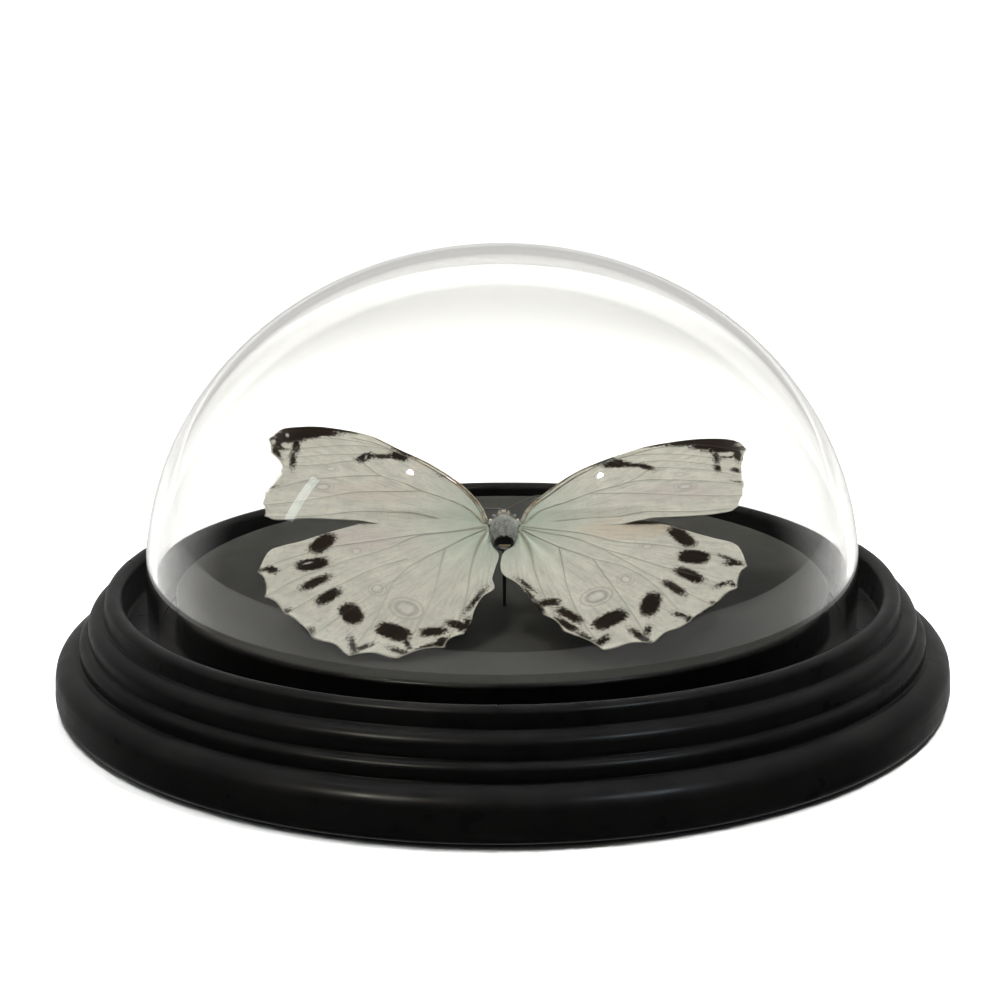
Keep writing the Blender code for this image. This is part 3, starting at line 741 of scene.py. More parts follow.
# %% Distances
def to_path(points, path):
    """Shortest distance from each point to the path, and how far along it, from 0 to 1."""
    start, step = path[:-1], np.diff(path, axis=0)
    reach = points[:, None] - start
    share = np.clip((reach * step).sum(-1) / np.maximum((step**2).sum(-1), 1e-12), 0, 1)
    apart = np.linalg.norm(reach - share[..., None] * step, axis=-1)
    nearest = apart.argmin(1)
    row = np.arange(len(points))
    return apart[row, nearest], (nearest + share[row, nearest]) / len(step)


def to_leaf(points, leaf):
    """Rough signed distance from a leaf, less than nothing inside it."""
    first, second, half = np.array(leaf[:2]), np.array(leaf[2:4]), leaf[4]
    middle, axis = (first + second) / 2, second - first
    length = np.linalg.norm(axis) / 2
    axis = axis / (2 * length)
    away = points - middle
    along = np.abs(away @ axis) / length
    across = np.abs(away @ np.array([-axis[1], axis[0]])) / half
    share = (along**2.9 + across**2.9) ** (1 / 2.9) * 1.05
    return (share - 1) * min(half, length)


def to_leaves(points, leaves):
    """Signed distance from the nearest leaf of a list, at most 9."""
    found = np.full(len(points), 9.0)
    for leaf in leaves:
        found = np.minimum(found, to_leaf(points, leaf))
    return found


# %% [markdown]
# The membrane's outline has four sides: the root, the front edge, the margin and the rear edge. A
# Coons patch fills it. It blends the front and rear edges into each other, does the same with the
# root and the margin, and takes away the corners that were counted twice.


# %% Flat shape of a wing
def scalloped(tips, dip):
    """The margin from one vein's tip to the next, dipping inwards by a half sine between them."""
    tips = np.asarray(tips, float)
    share = np.linspace(0, 1, 12, endpoint=False)[None, :, None]
    chord = np.diff(tips, axis=0)[:, None]
    inwards = unit(np.stack([chord[..., 1], -chord[..., 0]], -1))
    found = tips[:-1, None] + chord * share + inwards * dip * np.sin(pi * share)
    return np.vstack([found.reshape(-1, 2), tips[-1]])


def flat_wing(wing, rows, cols):
    """Coons patch of the outline: rows run from the root to the margin, columns rear to front."""
    front = evenly(smooth_path(wing["front"], 12), rows)[:, None]
    rear = evenly(smooth_path(wing["rear"], 12)[::-1], rows)[:, None]
    margin = evenly(scalloped(wing["tips"], wing["dip"])[::-1], cols)[None]
    root = evenly(np.array([rear[0, 0], front[0, 0]]), cols)[None]
    s = np.linspace(0, 1, rows)[:, None, None]
    t = np.linspace(0, 1, cols)[None, :, None]
    sides = (1 - t) * rear + t * front + (1 - s) * root + s * margin
    corners = (1 - s) * ((1 - t) * root[:, :1] + t * root[:, -1:]) + s * (
        (1 - t) * margin[:, :1] + t * margin[:, -1:]
    )
    return sides - corners


# %% [markdown]
# The relief of a wing is a height over its plane. The whole wing is gently arched. Between veins the
# dry membrane sags, and along a vein it is drawn up into a ridge. Near the body the hindwing is
# gathered into soft folds that fan out from the root, and its margin curls a little.


# %% Height of the membrane
def paths_of(name):
    return [evenly(smooth_path(vein[0], 5), 22) for vein in VEINS[name]]


def height_of(name, flat):
    """Arch + sag between veins + folds fanning from the root + curl at the margin, in mm."""
    wing = WINGS[name]
    x, y = flat[:, 0], flat[:, 1]
    away = np.hypot(x, y)
    near = np.full(len(flat), 99.0)
    for path in paths_of(name):
        near = np.minimum(near, to_path(flat, path)[0])
    ridge = np.exp(-((near / 0.7) ** 2))
    height = 0.10 * ridge * np.clip(away / 8, 0, 1)
    height += 0.8 * np.sin(pi * np.clip(away / 60, 0, 1)) - 0.4
    lean = np.arctan2(y, x)
    if wing["hind"]:
        fold = np.exp(-((lean + 1.25) / 0.42) ** 2)
        fold = fold * np.clip(away / 6, 0, 1) * np.clip((48 - away) / 30, 0, 1)
        height += 0.42 * fold * np.sin(17 * lean + 0.09 * away + wing["side"])
        height += 0.18 * np.sin(0.31 * x + 0.5 * wing["side"]) * np.sin(0.27 * y)
    else:
        height += 0.15 * np.sin(0.24 * x) * np.sin(0.33 * y + wing["side"])
        tucked = np.clip((3.6 - y) / 3.6, 0, 1) * np.clip((33 - x) / 9, 0, 1)
        height -= 1.25 * tucked**2 * (3 - 2 * tucked)
    margin = to_path(flat, scalloped(wing["tips"], wing["dip"]))[0]
    curl = np.exp(-margin / 1.6) * (0.5 + 0.5 * np.sin(0.55 * x + 0.7 * y))
    return height + (0.55 if wing["hind"] else 0.3) * curl


def place_of(wing):
    """Root beside the thorax, then pitch about X, dihedral about Y and sweep about Z."""
    side = wing["side"]
    pitch, dihedral, sweep = (radians(angle) for angle in wing["tilt"])
    root = np.array(BODY_PLACE) + (side * 3.0, 0.0, 0.0)
    if wing["hind"]:
        root = root + (0.0, -1.1, -1.3)
    turn = Matrix.Rotation(pitch, 3, "X") @ Matrix.Rotation(-side * dihedral, 3, "Y")
    return np.array(turn @ Matrix.Rotation(side * sweep, 3, "Z")), root


def stand(wing, local):
    """Takes points of a wing's own frame (outwards, forwards, up) to the object's frame."""
    turn, root = place_of(wing)
    return (local * (wing["side"], 1, 1)) @ turn.T + root


BODY_PLACE = (0.5, -23.0, 47.0)

# %% [markdown]
# ## The finish of the wings
# The white of this butterfly is not paint: it is rows of pale scales over a clear membrane, so it
# is a broken, silky cream, greyer where scales are rubbed off, green near the body, and warm in a
# patch on the right hindwing. Marks fray into it scale by scale, with a brown halo. An eyespot is a
# pale pupil in a thin grey ring inside a fainter one. The material reads only what each wing's
# mesh keeps: its flat place in millimetres and its distances from marks, rings and margin.

# %% Scales group
scales, given, give = new_group(
    "rows of scales", [("Flat", VECTOR, None)], [("Height", VALUE), ("Shade", VALUE), ("Patch", VALUE)]
)
apart = add(scales, "ShaderNodeSeparateXYZ", {0: given["Flat"]})
fan = math(scales, "ARCTAN2", apart.outputs["Y"], apart.outputs["X"])
out = add(scales, "ShaderNodeVectorMath", {0: given["Flat"]}, operation="LENGTH").outputs["Value"]
polar = add(scales, "ShaderNodeCombineXYZ", {0: times(scales, fan, 34.0), 1: times(scales, out, 0.16)})
streaks = noise(scales, polar.outputs[0], 1.0, 5.0, 0.6)
shingle = add(scales, "ShaderNodeTexVoronoi", {"Vector": given["Flat"], "Scale": 6.5})
tone = noise(scales, given["Flat"], 0.22, 5.0, 0.6)
speckle = noise(scales, given["Flat"], 4.2, 3.0, 0.6)
height = plus(scales, times(scales, shingle.outputs["Distance"], -0.6), times(scales, streaks, 1.4))
put(scales, plus(scales, height, times(scales, speckle, 0.5)), give["Height"])
shade = plus(scales, times(scales, streaks, 0.55), times(scales, speckle, 0.45))
put(scales, shade, give["Shade"])
put(scales, tone, give["Patch"])


# %% Wing material
def wing_finish(name, warm, cool):
    """Cream scales, then tints, streaks, rings, marks and margin, each laid over the last."""
    made, tree, shader = finish(name, Specular_IOR_Level=0.015)
    flat = kept(tree, "flat", "Vector")
    rows = use(tree, scales, Flat=flat)
    colour = blend(tree, ramp(tree, rows["Patch"], 0.3, 0.7), (0.60, 0.59, 0.50, 1), (0.72, 0.695, 0.59, 1))
    colour = blend(tree, ramp(tree, kept(tree, "warmth"), 0.05, 1.0, 0.0, 0.6), colour, warm)
    colour = blend(tree, ramp(tree, kept(tree, "rootward"), 0.0, 1.0, 0.0, 0.8), colour, cool)
    colour = blend(tree, ramp(tree, rows["Shade"], 0.46, 0.62, 0.0, 0.62), colour, (0.36, 0.365, 0.315, 1))
    rubbed = ramp(tree, noise(tree, flat, 0.9, 4.0, 0.7), 0.54, 0.68, 0.0, 0.5)
    colour = blend(tree, rubbed, colour, (0.37, 0.38, 0.34, 1))
    vein = kept(tree, "vein")
    # Darker green along the veins near the root: partly dark scales on the veins, partly painted shade of the
    # creases beside them.
    beside = times(tree, ramp(tree, vein, 0.6, 0.0), ramp(tree, kept(tree, "rootward"), 0.0, 0.8, 0.22, 0.75))
    colour = blend(tree, beside, colour, (0.17, 0.19, 0.13, 1))
    ring, force = kept(tree, "ring"), kept(tree, "force")
    uneven = plus(tree, ring, times(tree, less(tree, rows["Shade"], 0.5), 0.35))
    inner = times(tree, ramp(tree, uneven, 0.38, 0.55), ramp(tree, uneven, 0.85, 0.68))
    outer = times(tree, ramp(tree, uneven, 0.88, 1.0), ramp(tree, uneven, 1.18, 1.02))
    eye = times(tree, plus(tree, inner, times(tree, outer, 0.7)), force)
    colour = blend(tree, times(tree, eye, 0.62), colour, (0.25, 0.22, 0.20, 1))
    pupil = times(tree, ramp(tree, uneven, 0.38, 0.24, 0.0, 0.7), force)
    colour = blend(tree, pupil, colour, (0.68, 0.68, 0.60, 1))
    mark = kept(tree, "mark")
    halo = use(tree, fray, Where=flat, Distance=less(tree, mark, 0.22), Fray=0.9, Soft=0.30)["Mask"]
    colour = blend(tree, times(tree, halo, 0.55), colour, (0.16, 0.105, 0.065, 1))
    core = use(tree, fray, Where=flat, Distance=less(tree, mark, 0.08), Fray=0.95, Soft=0.09)["Mask"]
    soot = blend(tree, rows["Shade"], (0.003, 0.0021, 0.0016, 1), (0.012, 0.008, 0.005, 1))
    colour = blend(tree, core, colour, soot)
    gaps = use(tree, fray, Where=flat, Distance=kept(tree, "pale"), Fray=0.22, Soft=0.2)["Mask"]
    colour = blend(tree, times(tree, gaps, 0.85), colour, (0.60, 0.57, 0.49, 1))
    margin = kept(tree, "margin")
    colour = blend(tree, ramp(tree, margin, 0.30, 0.10, 0.0, 0.45), colour, (0.70, 0.67, 0.54, 1))
    coloured(tree, shader, colour)
    put(tree, ramp(tree, core, 0.0, 1.0, 0.60, 0.50), shader.inputs["Roughness"])
    raised(tree, shader, rows["Height"], 0.5, 0.00009)
    return made


# %% [markdown]
# Veins are dried tubes of horn: dark and glossy along the front edge near the root, thin and
# grey-green out on the white. Each carries its own tone, which mixes the two.

# %% Vein material
horn, tree, shader, relief = fine_finish("vein horn", 2600.0, 0.5, 0.00005, Roughness=0.42)
pale = blend(tree, relief["Shade"], (0.34, 0.35, 0.28, 1), (0.50, 0.49, 0.41, 1))
ripples = ramp(tree, relief["Height"], 0.45, 0.62)
dark = blend(tree, ripples, (0.016, 0.010, 0.005, 1), (0.24, 0.155, 0.065, 1))
worn = ramp(tree, noise(tree, kept(tree, "flat", "Vector"), 0.35, 3.0), 0.40, 0.58, 0.70, 1.0)
colour = blend(tree, times(tree, kept(tree, "tone"), worn), pale, dark)
colour = blend(tree, ramp(tree, kept(tree, "mark"), 0.1, -0.1), colour, (0.006, 0.004, 0.003, 1))
coloured(tree, shader, colour)

# %% [markdown]
# A wing mesh has two skins, top and bottom, carried round its edge as one wrapped grid and closed at
# the root and at the margin. Its veins are tubes half sunk in it, and its margin has a fringe
# of tiny pointed hairs. All three are joined into one mesh, because they are one piece.


# %% Joining grids
def join(parts):
    """Puts several (points, faces) into one, moving each part's corner numbers along."""
    points, faces, start = [], [], 0
    for some, corners in parts:
        points.append(some)
        faces += [[corner + start for corner in face] for face in corners]
        start += len(some)
    return np.vstack(points), faces


def skins(top, bottom):
    """One closed shell from two grids: across the top, back across the bottom, capped at the ends."""
    rows, cols = top.shape[:2]
    shell = np.concatenate([top, bottom[:, ::-1]], 1)
    faces = grid_faces(rows, 2 * cols, wrap=True)
    col = np.arange(cols - 1)
    start = np.stack([col, col + 1, 2 * cols - 2 - col, 2 * cols - 1 - col], 1)
    end = (rows - 1) * 2 * cols + start[:, ::-1]
    return shell.reshape(-1, 3), np.vstack([faces, start, end]).tolist()


def spines(root, tip, half, up):
    """Thin three-sided hairs from root to tip; each has a closed base and a point."""
    along = unit(tip - root)
    across = unit(np.cross(along, up))
    over = np.cross(across, along)
    spokes = spokes_of(across, over, np.array([0, 2, 4]) * pi / 3)
    width = np.broadcast_to(half, len(root))[:, None, None]
    points = np.concatenate([root[:, None] + spokes * width, tip[:, None]], 1)
    corners = np.array([[0, 1, 3], [1, 2, 3], [2, 0, 3], [0, 2, 1]])
    faces = (np.arange(len(root)) * 4)[:, None, None] + corners
    return points.reshape(-1, 3), faces.reshape(-1, 3).tolist()


# %% Building one wing
ROWS, COLS, THICK = 150, 190, 0.16
VEIN_STEPS, VEIN_SIDES, FRINGE = 90, 8, 900


def build_wing(name, warm_at, warm, cool):
    wing = WINGS[name]
    flat = flat_wing(wing, ROWS, COLS).reshape(-1, 2)
    lift = height_of(name, flat)
    top = np.column_stack([flat, lift + THICK / 2]).reshape(ROWS, COLS, 3)
    bottom = np.column_stack([flat, lift - THICK / 2]).reshape(ROWS, COLS, 3)
    parts = [skins(top, bottom)]
    tones = [np.zeros(len(parts[0][0]))]
    for vein, path in zip(VEINS[name], paths_of(name)):
        path = evenly(path, VEIN_STEPS)
        width = np.linspace(vein[1], vein[2], VEIN_STEPS) * (0.42 + 0.36 * vein[3])
        width[-6:] *= np.linspace(1, 0.3, 6)
        middle = np.column_stack([path, height_of(name, path) + THICK / 2])
        parts.append(tube(middle, width, VEIN_SIDES, (0, 0, 1)))
        last = 0.45 if vein[1] < 0.3 else 1.0
        fade = np.clip(vein[3] * np.linspace(1.6, last, VEIN_STEPS), 0, 1)
        tones.append(np.append(np.repeat(fade, VEIN_SIDES), [fade[0], fade[-1]]))
    edge = evenly(scalloped(wing["tips"], wing["dip"]), FRINGE)
    outwards = unit(np.gradient(edge, axis=0) @ np.array([[0, 1], [-1, 0]]))
    lean = rng.normal(0, 0.25, (FRINGE, 2))
    reach = rng.uniform(0.15, 0.5, FRINGE)[:, None]
    base_at = np.column_stack([edge, height_of(name, edge)])
    tip_at = base_at + np.column_stack([(outwards + lean) * reach, rng.normal(0, 0.08, FRINGE)])
    parts.append(spines(base_at, tip_at, 0.045, (0, 0, 1)))
    tones.append(np.zeros(len(parts[-1][0])))
    local, faces = join(parts)
    if wing["side"] < 0:
        faces = [face[::-1] for face in faces]
    flat = local[:, :2]
    away = np.hypot(flat[:, 0], flat[:, 1])
    near = np.full(len(flat), 9.0)
    for path in paths_of(name):
        near = np.minimum(near, to_path(flat, path)[0])
    ring, force = np.full(len(flat), 9.0), np.zeros(len(flat))
    for x, y, half_long, half_wide, turn, strength in RINGS[name]:
        cos, sin = np.cos(radians(turn)), np.sin(radians(turn))
        along = ((flat[:, 0] - x) * cos + (flat[:, 1] - y) * sin) / half_long
        across = ((flat[:, 1] - y) * cos - (flat[:, 0] - x) * sin) / half_wide
        share = np.hypot(along, across)
        force = np.where(share < ring, strength, force)
        ring = np.minimum(ring, share)
    tinted = 1 - np.hypot((flat[:, 0] - warm_at[0]) / 17, (flat[:, 1] - warm_at[1]) / 6)
    notes = {
        "flat": np.column_stack([flat, np.zeros(len(flat))]),
        "mark": to_leaves(flat, DARK[name]),
        "pale": to_leaves(flat, PALE[name]),
        "ring": ring,
        "force": force,
        "vein": near,
        "margin": to_path(flat, scalloped(wing["tips"], wing["dip"]))[0],
        "rootward": np.clip(1 - away / 26, 0, 1),
        "warmth": np.clip(1.6 * tinted, 0, 1),
        "tone": np.concatenate(tones),
    }
    cell = len(parts[0][1])
    veins = sum(len(part[1]) for part in parts[1:-1])
    which = [0] * cell + [1] * veins + [0] * len(parts[-1][1])
    made = wing_finish(name + " scales", warm, cool)
    piece = new_piece(name + "_scaled", stand(wing, local), faces, [made, horn], which, notes)
    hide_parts(name)


GREEN, PINK, PEACH = (0.34, 0.41, 0.325, 1), (0.56, 0.49, 0.45, 1), (0.66, 0.52, 0.38, 1)
build_wing("forewing_left", (30.0, 9.0), (0.58, 0.52, 0.44, 1), GREEN)
build_wing("forewing_right", (38.0, 8.0), (0.55, 0.49, 0.46, 1), GREEN)
build_wing("hindwing_left", (30.0, -6.5), PINK, GREEN)
build_wing("hindwing_right", (27.0, -2.5), PEACH, GREEN)

# %% [markdown]
# ## The body
# Only the thorax and head are left: the abdomen has broken off and leaves a dark hollow. The
# thorax is an egg of horn that lies along Y, felted with short grey hair. Its surface is a
# lathe profile that goes round the outside and back into the hollow. Everything here is drawn in
# the body's own frame, tipped head up, and then put in place.

# %% Body frame and thorax profile
BODY_PITCH = 21.5
THORAX_MIDDLE, THORAX_RADIUS = (0.0, -2.2, -1.2), 3.3
THORAX_FRONT, THORAX_REAR, NECK_CUT, WAIST_CUT = 4.0, 6.9, 3.6, 5.0
STATIONS, AROUND = 46, 72


def lay(points):
    """From the body's frame to the object's: tipped about X, then moved to the body's place."""
    return np.asarray(points) @ np.array(Matrix.Rotation(radians(BODY_PITCH), 3, "X")).T + BODY_PLACE


def girth(along):
    """Radius of the thorax at a distance along it: an ellipse, longer to the rear."""
    half = np.where(along > 0, THORAX_FRONT, THORAX_REAR)
    return THORAX_RADIUS * np.sqrt(np.clip(1 - (along / half) ** 2, 0, 1))


station = np.linspace(NECK_CUT, -WAIST_CUT, STATIONS)
outside = np.column_stack([girth(station), station])
rim = girth(np.array(-WAIST_CUT))
hollow = np.array([
    (rim - 0.25, -0.02), (rim - 0.45, 0.35), (rim - 0.6, 1.0), (rim - 1.0, 1.5), (0.6, 1.7), (0.0, 1.6),
]) - (0, WAIST_CUT)
points, faces = lathe(np.vstack([[(0.0, NECK_CUT)], outside, hollow]), AROUND)

# %% [markdown]
# The lathe's axis is turned to lie along Y. The back is a little flattened and a seam runs down its
# middle, as on the real plate, and the broken rim is ragged.

# %% Thorax
turn = np.arctan2(points[:, 1], points[:, 0])
ragged = np.where(points[:, 2] < -WAIST_CUT + 0.3, 1.0, 0.0)
points[:, 2] += ragged * 0.28 * (np.sin(5 * turn) * np.sin(3 * turn + 1) + 0.5 * np.sin(13 * turn))
thorax_points = np.column_stack([points[:, 0], points[:, 2], -points[:, 1]])
upper = np.clip(thorax_points[:, 2] / THORAX_RADIUS, 0, 1)
thorax_points[:, 2] -= 0.22 * upper * np.exp(-((thorax_points[:, 0] / 0.35) ** 2))
thorax_points[:, :2] *= 1 + 0.012 * np.sin(7 * turn)[:, None]
thorax_points += THORAX_MIDDLE
within = np.arange(STATIONS + len(hollow) - 1) >= STATIONS - 1
inner = np.concatenate([np.repeat(within, AROUND), [False, True]]).astype(float)

# %% [markdown]
# Hairs are thin three-sided spikes. They start all over the thorax, stand up a little and lean back,
# and each has its own shade. A fixed seed keeps them the same at every run.


# %% Hair
SHORT_HAIRS, LONG_HAIRS = 9000, 1400


def hair_on(count, along_range, length, lift):
    """Random roots on the thorax, leaning back by lift, as roots, tips and one shade each."""
    along = rng.uniform(*along_range, count)
    angle = rng.uniform(0, 2 * pi, count)
    out = np.column_stack([np.cos(angle), np.zeros(count), np.sin(angle)])
    root = out * girth(along)[:, None] * 0.95 + np.column_stack([np.zeros(count), along, np.zeros(count)])
    back = np.array([0.0, -1.0, 0.0]) + rng.normal(0, 0.38, (count, 3))
    tip = root + unit(out * lift + back * (1 - lift)) * (length * rng.uniform(0.55, 1.2, count))[:, None]
    return root + THORAX_MIDDLE, tip + THORAX_MIDDLE, rng.uniform(0, 1, count)


root, tip, shade = hair_on(SHORT_HAIRS, (-4.9, 3.5), 0.85, 0.40)
hair_points, hair_faces = spines(root, tip, 0.035, (0.0, 0.3, 1.0))
long_root, long_tip, long_shade = hair_on(LONG_HAIRS, (-3.5, 2.6), 1.3, 0.50)
long_points, long_faces = spines(long_root, long_tip, 0.03, (0.0, 0.3, 1.0))
print("hairs:", len(root) + len(long_root))

# %% [markdown]
# Hair on a dried thorax is dusty grey with buff strands and dark clumps mixed in, and brown towards
# the head. Below it the horn is grey, and inside the hollow it is nearly black: dark horn and painted shade.

# %% Body materials
fur, tree, shader = finish("grey-blue hair", Roughness=0.75, Sheen_Weight=0.3, Sheen_Roughness=0.5)
shade_of = kept(tree, "shade")
place = place_in(tree)
clump = noise(tree, place, 950.0, 3.0)
colour = blend(tree, ramp(tree, shade_of, 0.0, 0.7), (0.42, 0.47, 0.45, 1), (0.85, 0.88, 0.80, 1))
colour = blend(tree, ramp(tree, shade_of, 0.82, 0.9), colour, (0.66, 0.62, 0.52, 1))
colour = blend(tree, ramp(tree, clump, 0.54, 0.60, 0.0, 0.92), colour, (0.050, 0.047, 0.044, 1))
colour = blend(tree, kept(tree, "buff"), colour, (0.24, 0.175, 0.115, 1))
coloured(tree, shader, colour)

shell, tree, shader, relief = fine_finish("dark body horn", 1700.0, 0.8, 0.0001, Roughness=0.45)
colour = blend(tree, relief["Shade"], (0.070, 0.068, 0.062, 1), (0.26, 0.265, 0.24, 1))
# Painted shade: inside the hollow the horn is made nearly black, partly its dark broken inside, partly the
# shade of the recess.
colour = blend(tree, kept(tree, "inner"), colour, (0.010, 0.007, 0.006, 1))
coloured(tree, shader, colour)

amber_painted_bright, tree, shader, relief = fine_finish("amber cuticle painted bright", 2400.0, 0.6, 0.0001, Roughness=0.32)
# Amber colour whose bright end is raised near white as painted light, since the strip sits in the shade of
# the hollow.
colour = blend(tree, relief["Height"], (0.60, 0.33, 0.08, 1), (1.0, 0.78, 0.36, 1))
coloured(tree, shader, colour)

# Painted glint: the ivory plates are small pale eggs that stand in for the white highlights on the dark
# lobes.
painted_glint_ivory, tree, shader, relief = fine_finish("ivory painted glint", 1900.0, 0.5, 0.00008, Roughness=0.4)
colour = blend(tree, relief["Height"], (0.40, 0.33, 0.24, 1), (0.82, 0.76, 0.64, 1))
coloured(tree, shader, colour)

# %% [markdown]
# In the hollow hangs a torn strip of amber cuticle. Where each forewing meets the thorax a small dark
# lobe covers the joint, with a pale plate, which is a painted glint, and a dark knob before it. All are
# egg shapes: the strip is one that is stretched and bent.


# %% Small lobes
def egg(middle, size, rows=14, cols=20, bow=0.0):
    """An ellipsoid from latitude and longitude; bow lifts its two ends along Z."""
    lat = np.linspace(pi / 2, -pi / 2, rows)
    points, faces = lathe(np.column_stack([np.cos(lat), np.sin(lat)]), cols)
    points = points * size
    points[:, 2] += bow * (points[:, 0] / size[0]) ** 2
    return points + middle, faces


strip = egg((0.1, -7.7, -1.8), (1.5, 0.45, 0.40), bow=0.3)
lobes = [egg((side * 3.2, -0.6, -0.35), (0.75, 1.0, 0.6)) for side in (-1, 1)]
glint_plates = [egg((side * 3.25, 0.1, 0.1), (0.32, 0.42, 0.3)) for side in (-1, 1)]
# The pale plates are painted glints on the lobes.
knobs = [egg((side * 2.5, 1.75, 0.1), (0.5, 0.5, 0.4)) for side in (-1, 1)]
hair = [(hair_points, hair_faces), (long_points, long_faces)]
body, faces_all = join([(thorax_points, faces), *hair, strip, *lobes, *knobs, *glint_plates])
kinds = ([(thorax_points, faces)], hair, [strip], lobes + knobs, glint_plates)
sizes = [sum(len(some[1]) for some in kind) for kind in kinds]
which = np.repeat([1, 0, 2, 1, 3], sizes)
hair_shades = np.repeat(np.append(shade, long_shade), 4)
first = len(thorax_points)
shades, hollow_shade_note = np.zeros(len(body)), np.zeros(len(body))
shades[first : first + len(hair_shades)] = hair_shades
# The hollow's points, where the painted shade of the recess goes.
hollow_shade_note[:first] = inner
buff = np.clip((body[:, 1] - 0.2) / 1.6, 0, 1)
thorax = new_piece(
    "thorax_furred", lay(body), faces_all, [fur, shell, amber_painted_bright, painted_glint_ivory], which,
    {"shade": shades, "inner": hollow_shade_note, "buff": buff},
)
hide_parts("thorax")

# %% [markdown]
# ## The head
# The head is a small tufted ball with a large dark compound eye on each side, two hairy palps in
# front, and the tongue coiled below. The eyes are ellipsoids with a fine net of facets in their
# relief. The tongue is a tube on a spiral, whose radius grows evenly with its angle.

# %% Head
HEAD_MIDDLE, HEAD_SIZE = np.array((0.0, 3.1, -1.3)), np.array((1.6, 1.25, 1.4))
COIL_STEPS, PALP_STEPS, TUFT_HAIRS = 90, 13, 2600
skull = egg(HEAD_MIDDLE, HEAD_SIZE, 18, 28)
eyes = [egg(HEAD_MIDDLE + (side * 1.05, 0.15, 0.05), (0.85, 0.95, 1.1), 16, 24) for side in (-1, 1)]
palps = [
    tube(smooth_path([(side * 0.5, 4.0, -2.1), (side * 0.6, 4.6, -1.9), (side * 0.6, 4.9, -1.2)], 6),
         np.linspace(0.34, 0.12, PALP_STEPS), 10, (1, 0, 0))
    for side in (-1, 1)
]
curl = np.linspace(0, 4.5 * pi, COIL_STEPS)
coil = 0.055 * curl[:, None] * np.column_stack([np.zeros(COIL_STEPS), -np.sin(curl), np.cos(curl)])
tongue = tube(coil + (0, 4.15, -2.35), np.linspace(0.05, 0.11, COIL_STEPS), 8, (1, 0, 0))
around = unit(rng.normal(0, 1, (TUFT_HAIRS, 3)))
around = around[(around[:, 2] > -0.5) & (np.abs(around[:, 0]) < 0.72)]
root = HEAD_MIDDLE + around * HEAD_SIZE * 0.98
lean = unit(around + (0, 0.35, 0.25) + rng.normal(0, 0.3, around.shape))
tip = root + lean * rng.uniform(0.35, 0.9, (len(root), 1))
tuft = spines(root, tip, 0.032, (0.0, 0.3, 1.0))
palp_root = np.concatenate([p[0][: PALP_STEPS * 10] for p in palps])
palp_tip = palp_root + unit(rng.normal(0, 0.5, palp_root.shape) + (0, 0.6, 0.4)) * 0.45
bristles = spines(palp_root, palp_tip, 0.028, (0.0, 0.3, 1.0))
points, faces = join([skull, *palps, tuft, bristles, *eyes, tongue])
sizes = [sum(len(some[1]) for some in kind) for kind in ([skull, *palps], [tuft, bristles], eyes, [tongue])]
which = np.repeat([1, 0, 2, 1], sizes)

facets, tree, shader = finish("compound eye", Roughness=0.3, Coat_Weight=0.3, Coat_Roughness=0.25)
place = place_in(tree)
net = add(tree, "ShaderNodeTexVoronoi", {"Vector": place, "Scale": 9000.0}).outputs["Distance"]
mottle = noise(tree, place, 1400.0, 3.0)
colour = blend(tree, ramp(tree, mottle, 0.4, 0.65), (0.012, 0.008, 0.006, 1), (0.085, 0.045, 0.022, 1))
coloured(tree, shader, colour)
raised(tree, shader, net, 0.5, 0.00004)
count = len(points)
notes = {"shade": rng.uniform(0, 1, count), "inner": np.zeros(count), "buff": np.full(count, 0.75)}
head = new_piece("head_furred", lay(points), faces, [fur, shell, facets], which, notes)
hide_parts("head")

# %% [markdown]
# ## The antennae
# Each antenna is a fine black rod of 42 short joints that ends in a slim club, and it bends
# forwards and down under its forewing. It is a tube along a smooth path whose radius swells at every
# joint and again at the tip.

# %% Antennae
ROUTES = {
    "antenna_left": ((-0.7, 3.5, 0.0), (-1.0, 3.9, 0.55), (-4.2, 5.4, -0.5), (-9.0, 8.0, -2.2),
                     (-14.0, 10.6, -3.8), (-18.5, 13.0, -5.0)),
    "antenna_right": ((0.7, 3.5, 0.0), (1.0, 3.9, 0.55), (4.2, 7.0, 0.2), (8.0, 10.4, -0.4),
                      (13.0, 12.8, -2.4), (19.0, 14.4, -4.6)),
}
ROD_STEPS, ROD_SIDES, JOINTS = 420, 12, 42
rod, tree, shader, relief = fine_finish("antenna horn", 2600.0, 0.5, 0.00004, Roughness=0.4)
colour = blend(tree, relief["Shade"], (0.004, 0.0035, 0.003, 1), (0.014, 0.011, 0.008, 1))
colour = blend(tree, ramp(tree, kept(tree, "joint"), 0.4, 0.9, 0.0, 0.4), colour, (0.035, 0.026, 0.018, 1))
coloured(tree, shader, colour)
for name, route in ROUTES.items():
    path = evenly(smooth_path(route, 10), ROD_STEPS)
    share = np.linspace(0, 1, ROD_STEPS)
    joint = 0.5 + 0.5 * np.cos(2 * pi * JOINTS * share)
    club = np.clip((share - 0.8) / 0.14, 0, 1) ** 2 * np.clip((1.005 - share) / 0.05, 0, 1) ** 0.5
    radius = 0.19 + 0.025 * joint + 0.20 * club
    radius[:8] = np.linspace(0.26, 0.19, 8)
    points, faces = tube(path, radius, ROD_SIDES, (0, 0, 1))
    rings_note = np.append(np.repeat(1 - joint, ROD_SIDES), [0, 0])
    notes = {"joint": rings_note}
    feeler = new_piece(name + "_jointed", lay(points), faces, [rod], notes=notes)
    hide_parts(name)

# %% [markdown]
# ## The pin
# A steel insect pin stands in the base and holds the thorax from below. Drawn wire keeps fine
# lengthwise lines from its die, so the roughness and the relief are streaked along Z. Its foot is
# let into the wood, and its point is inside the body.

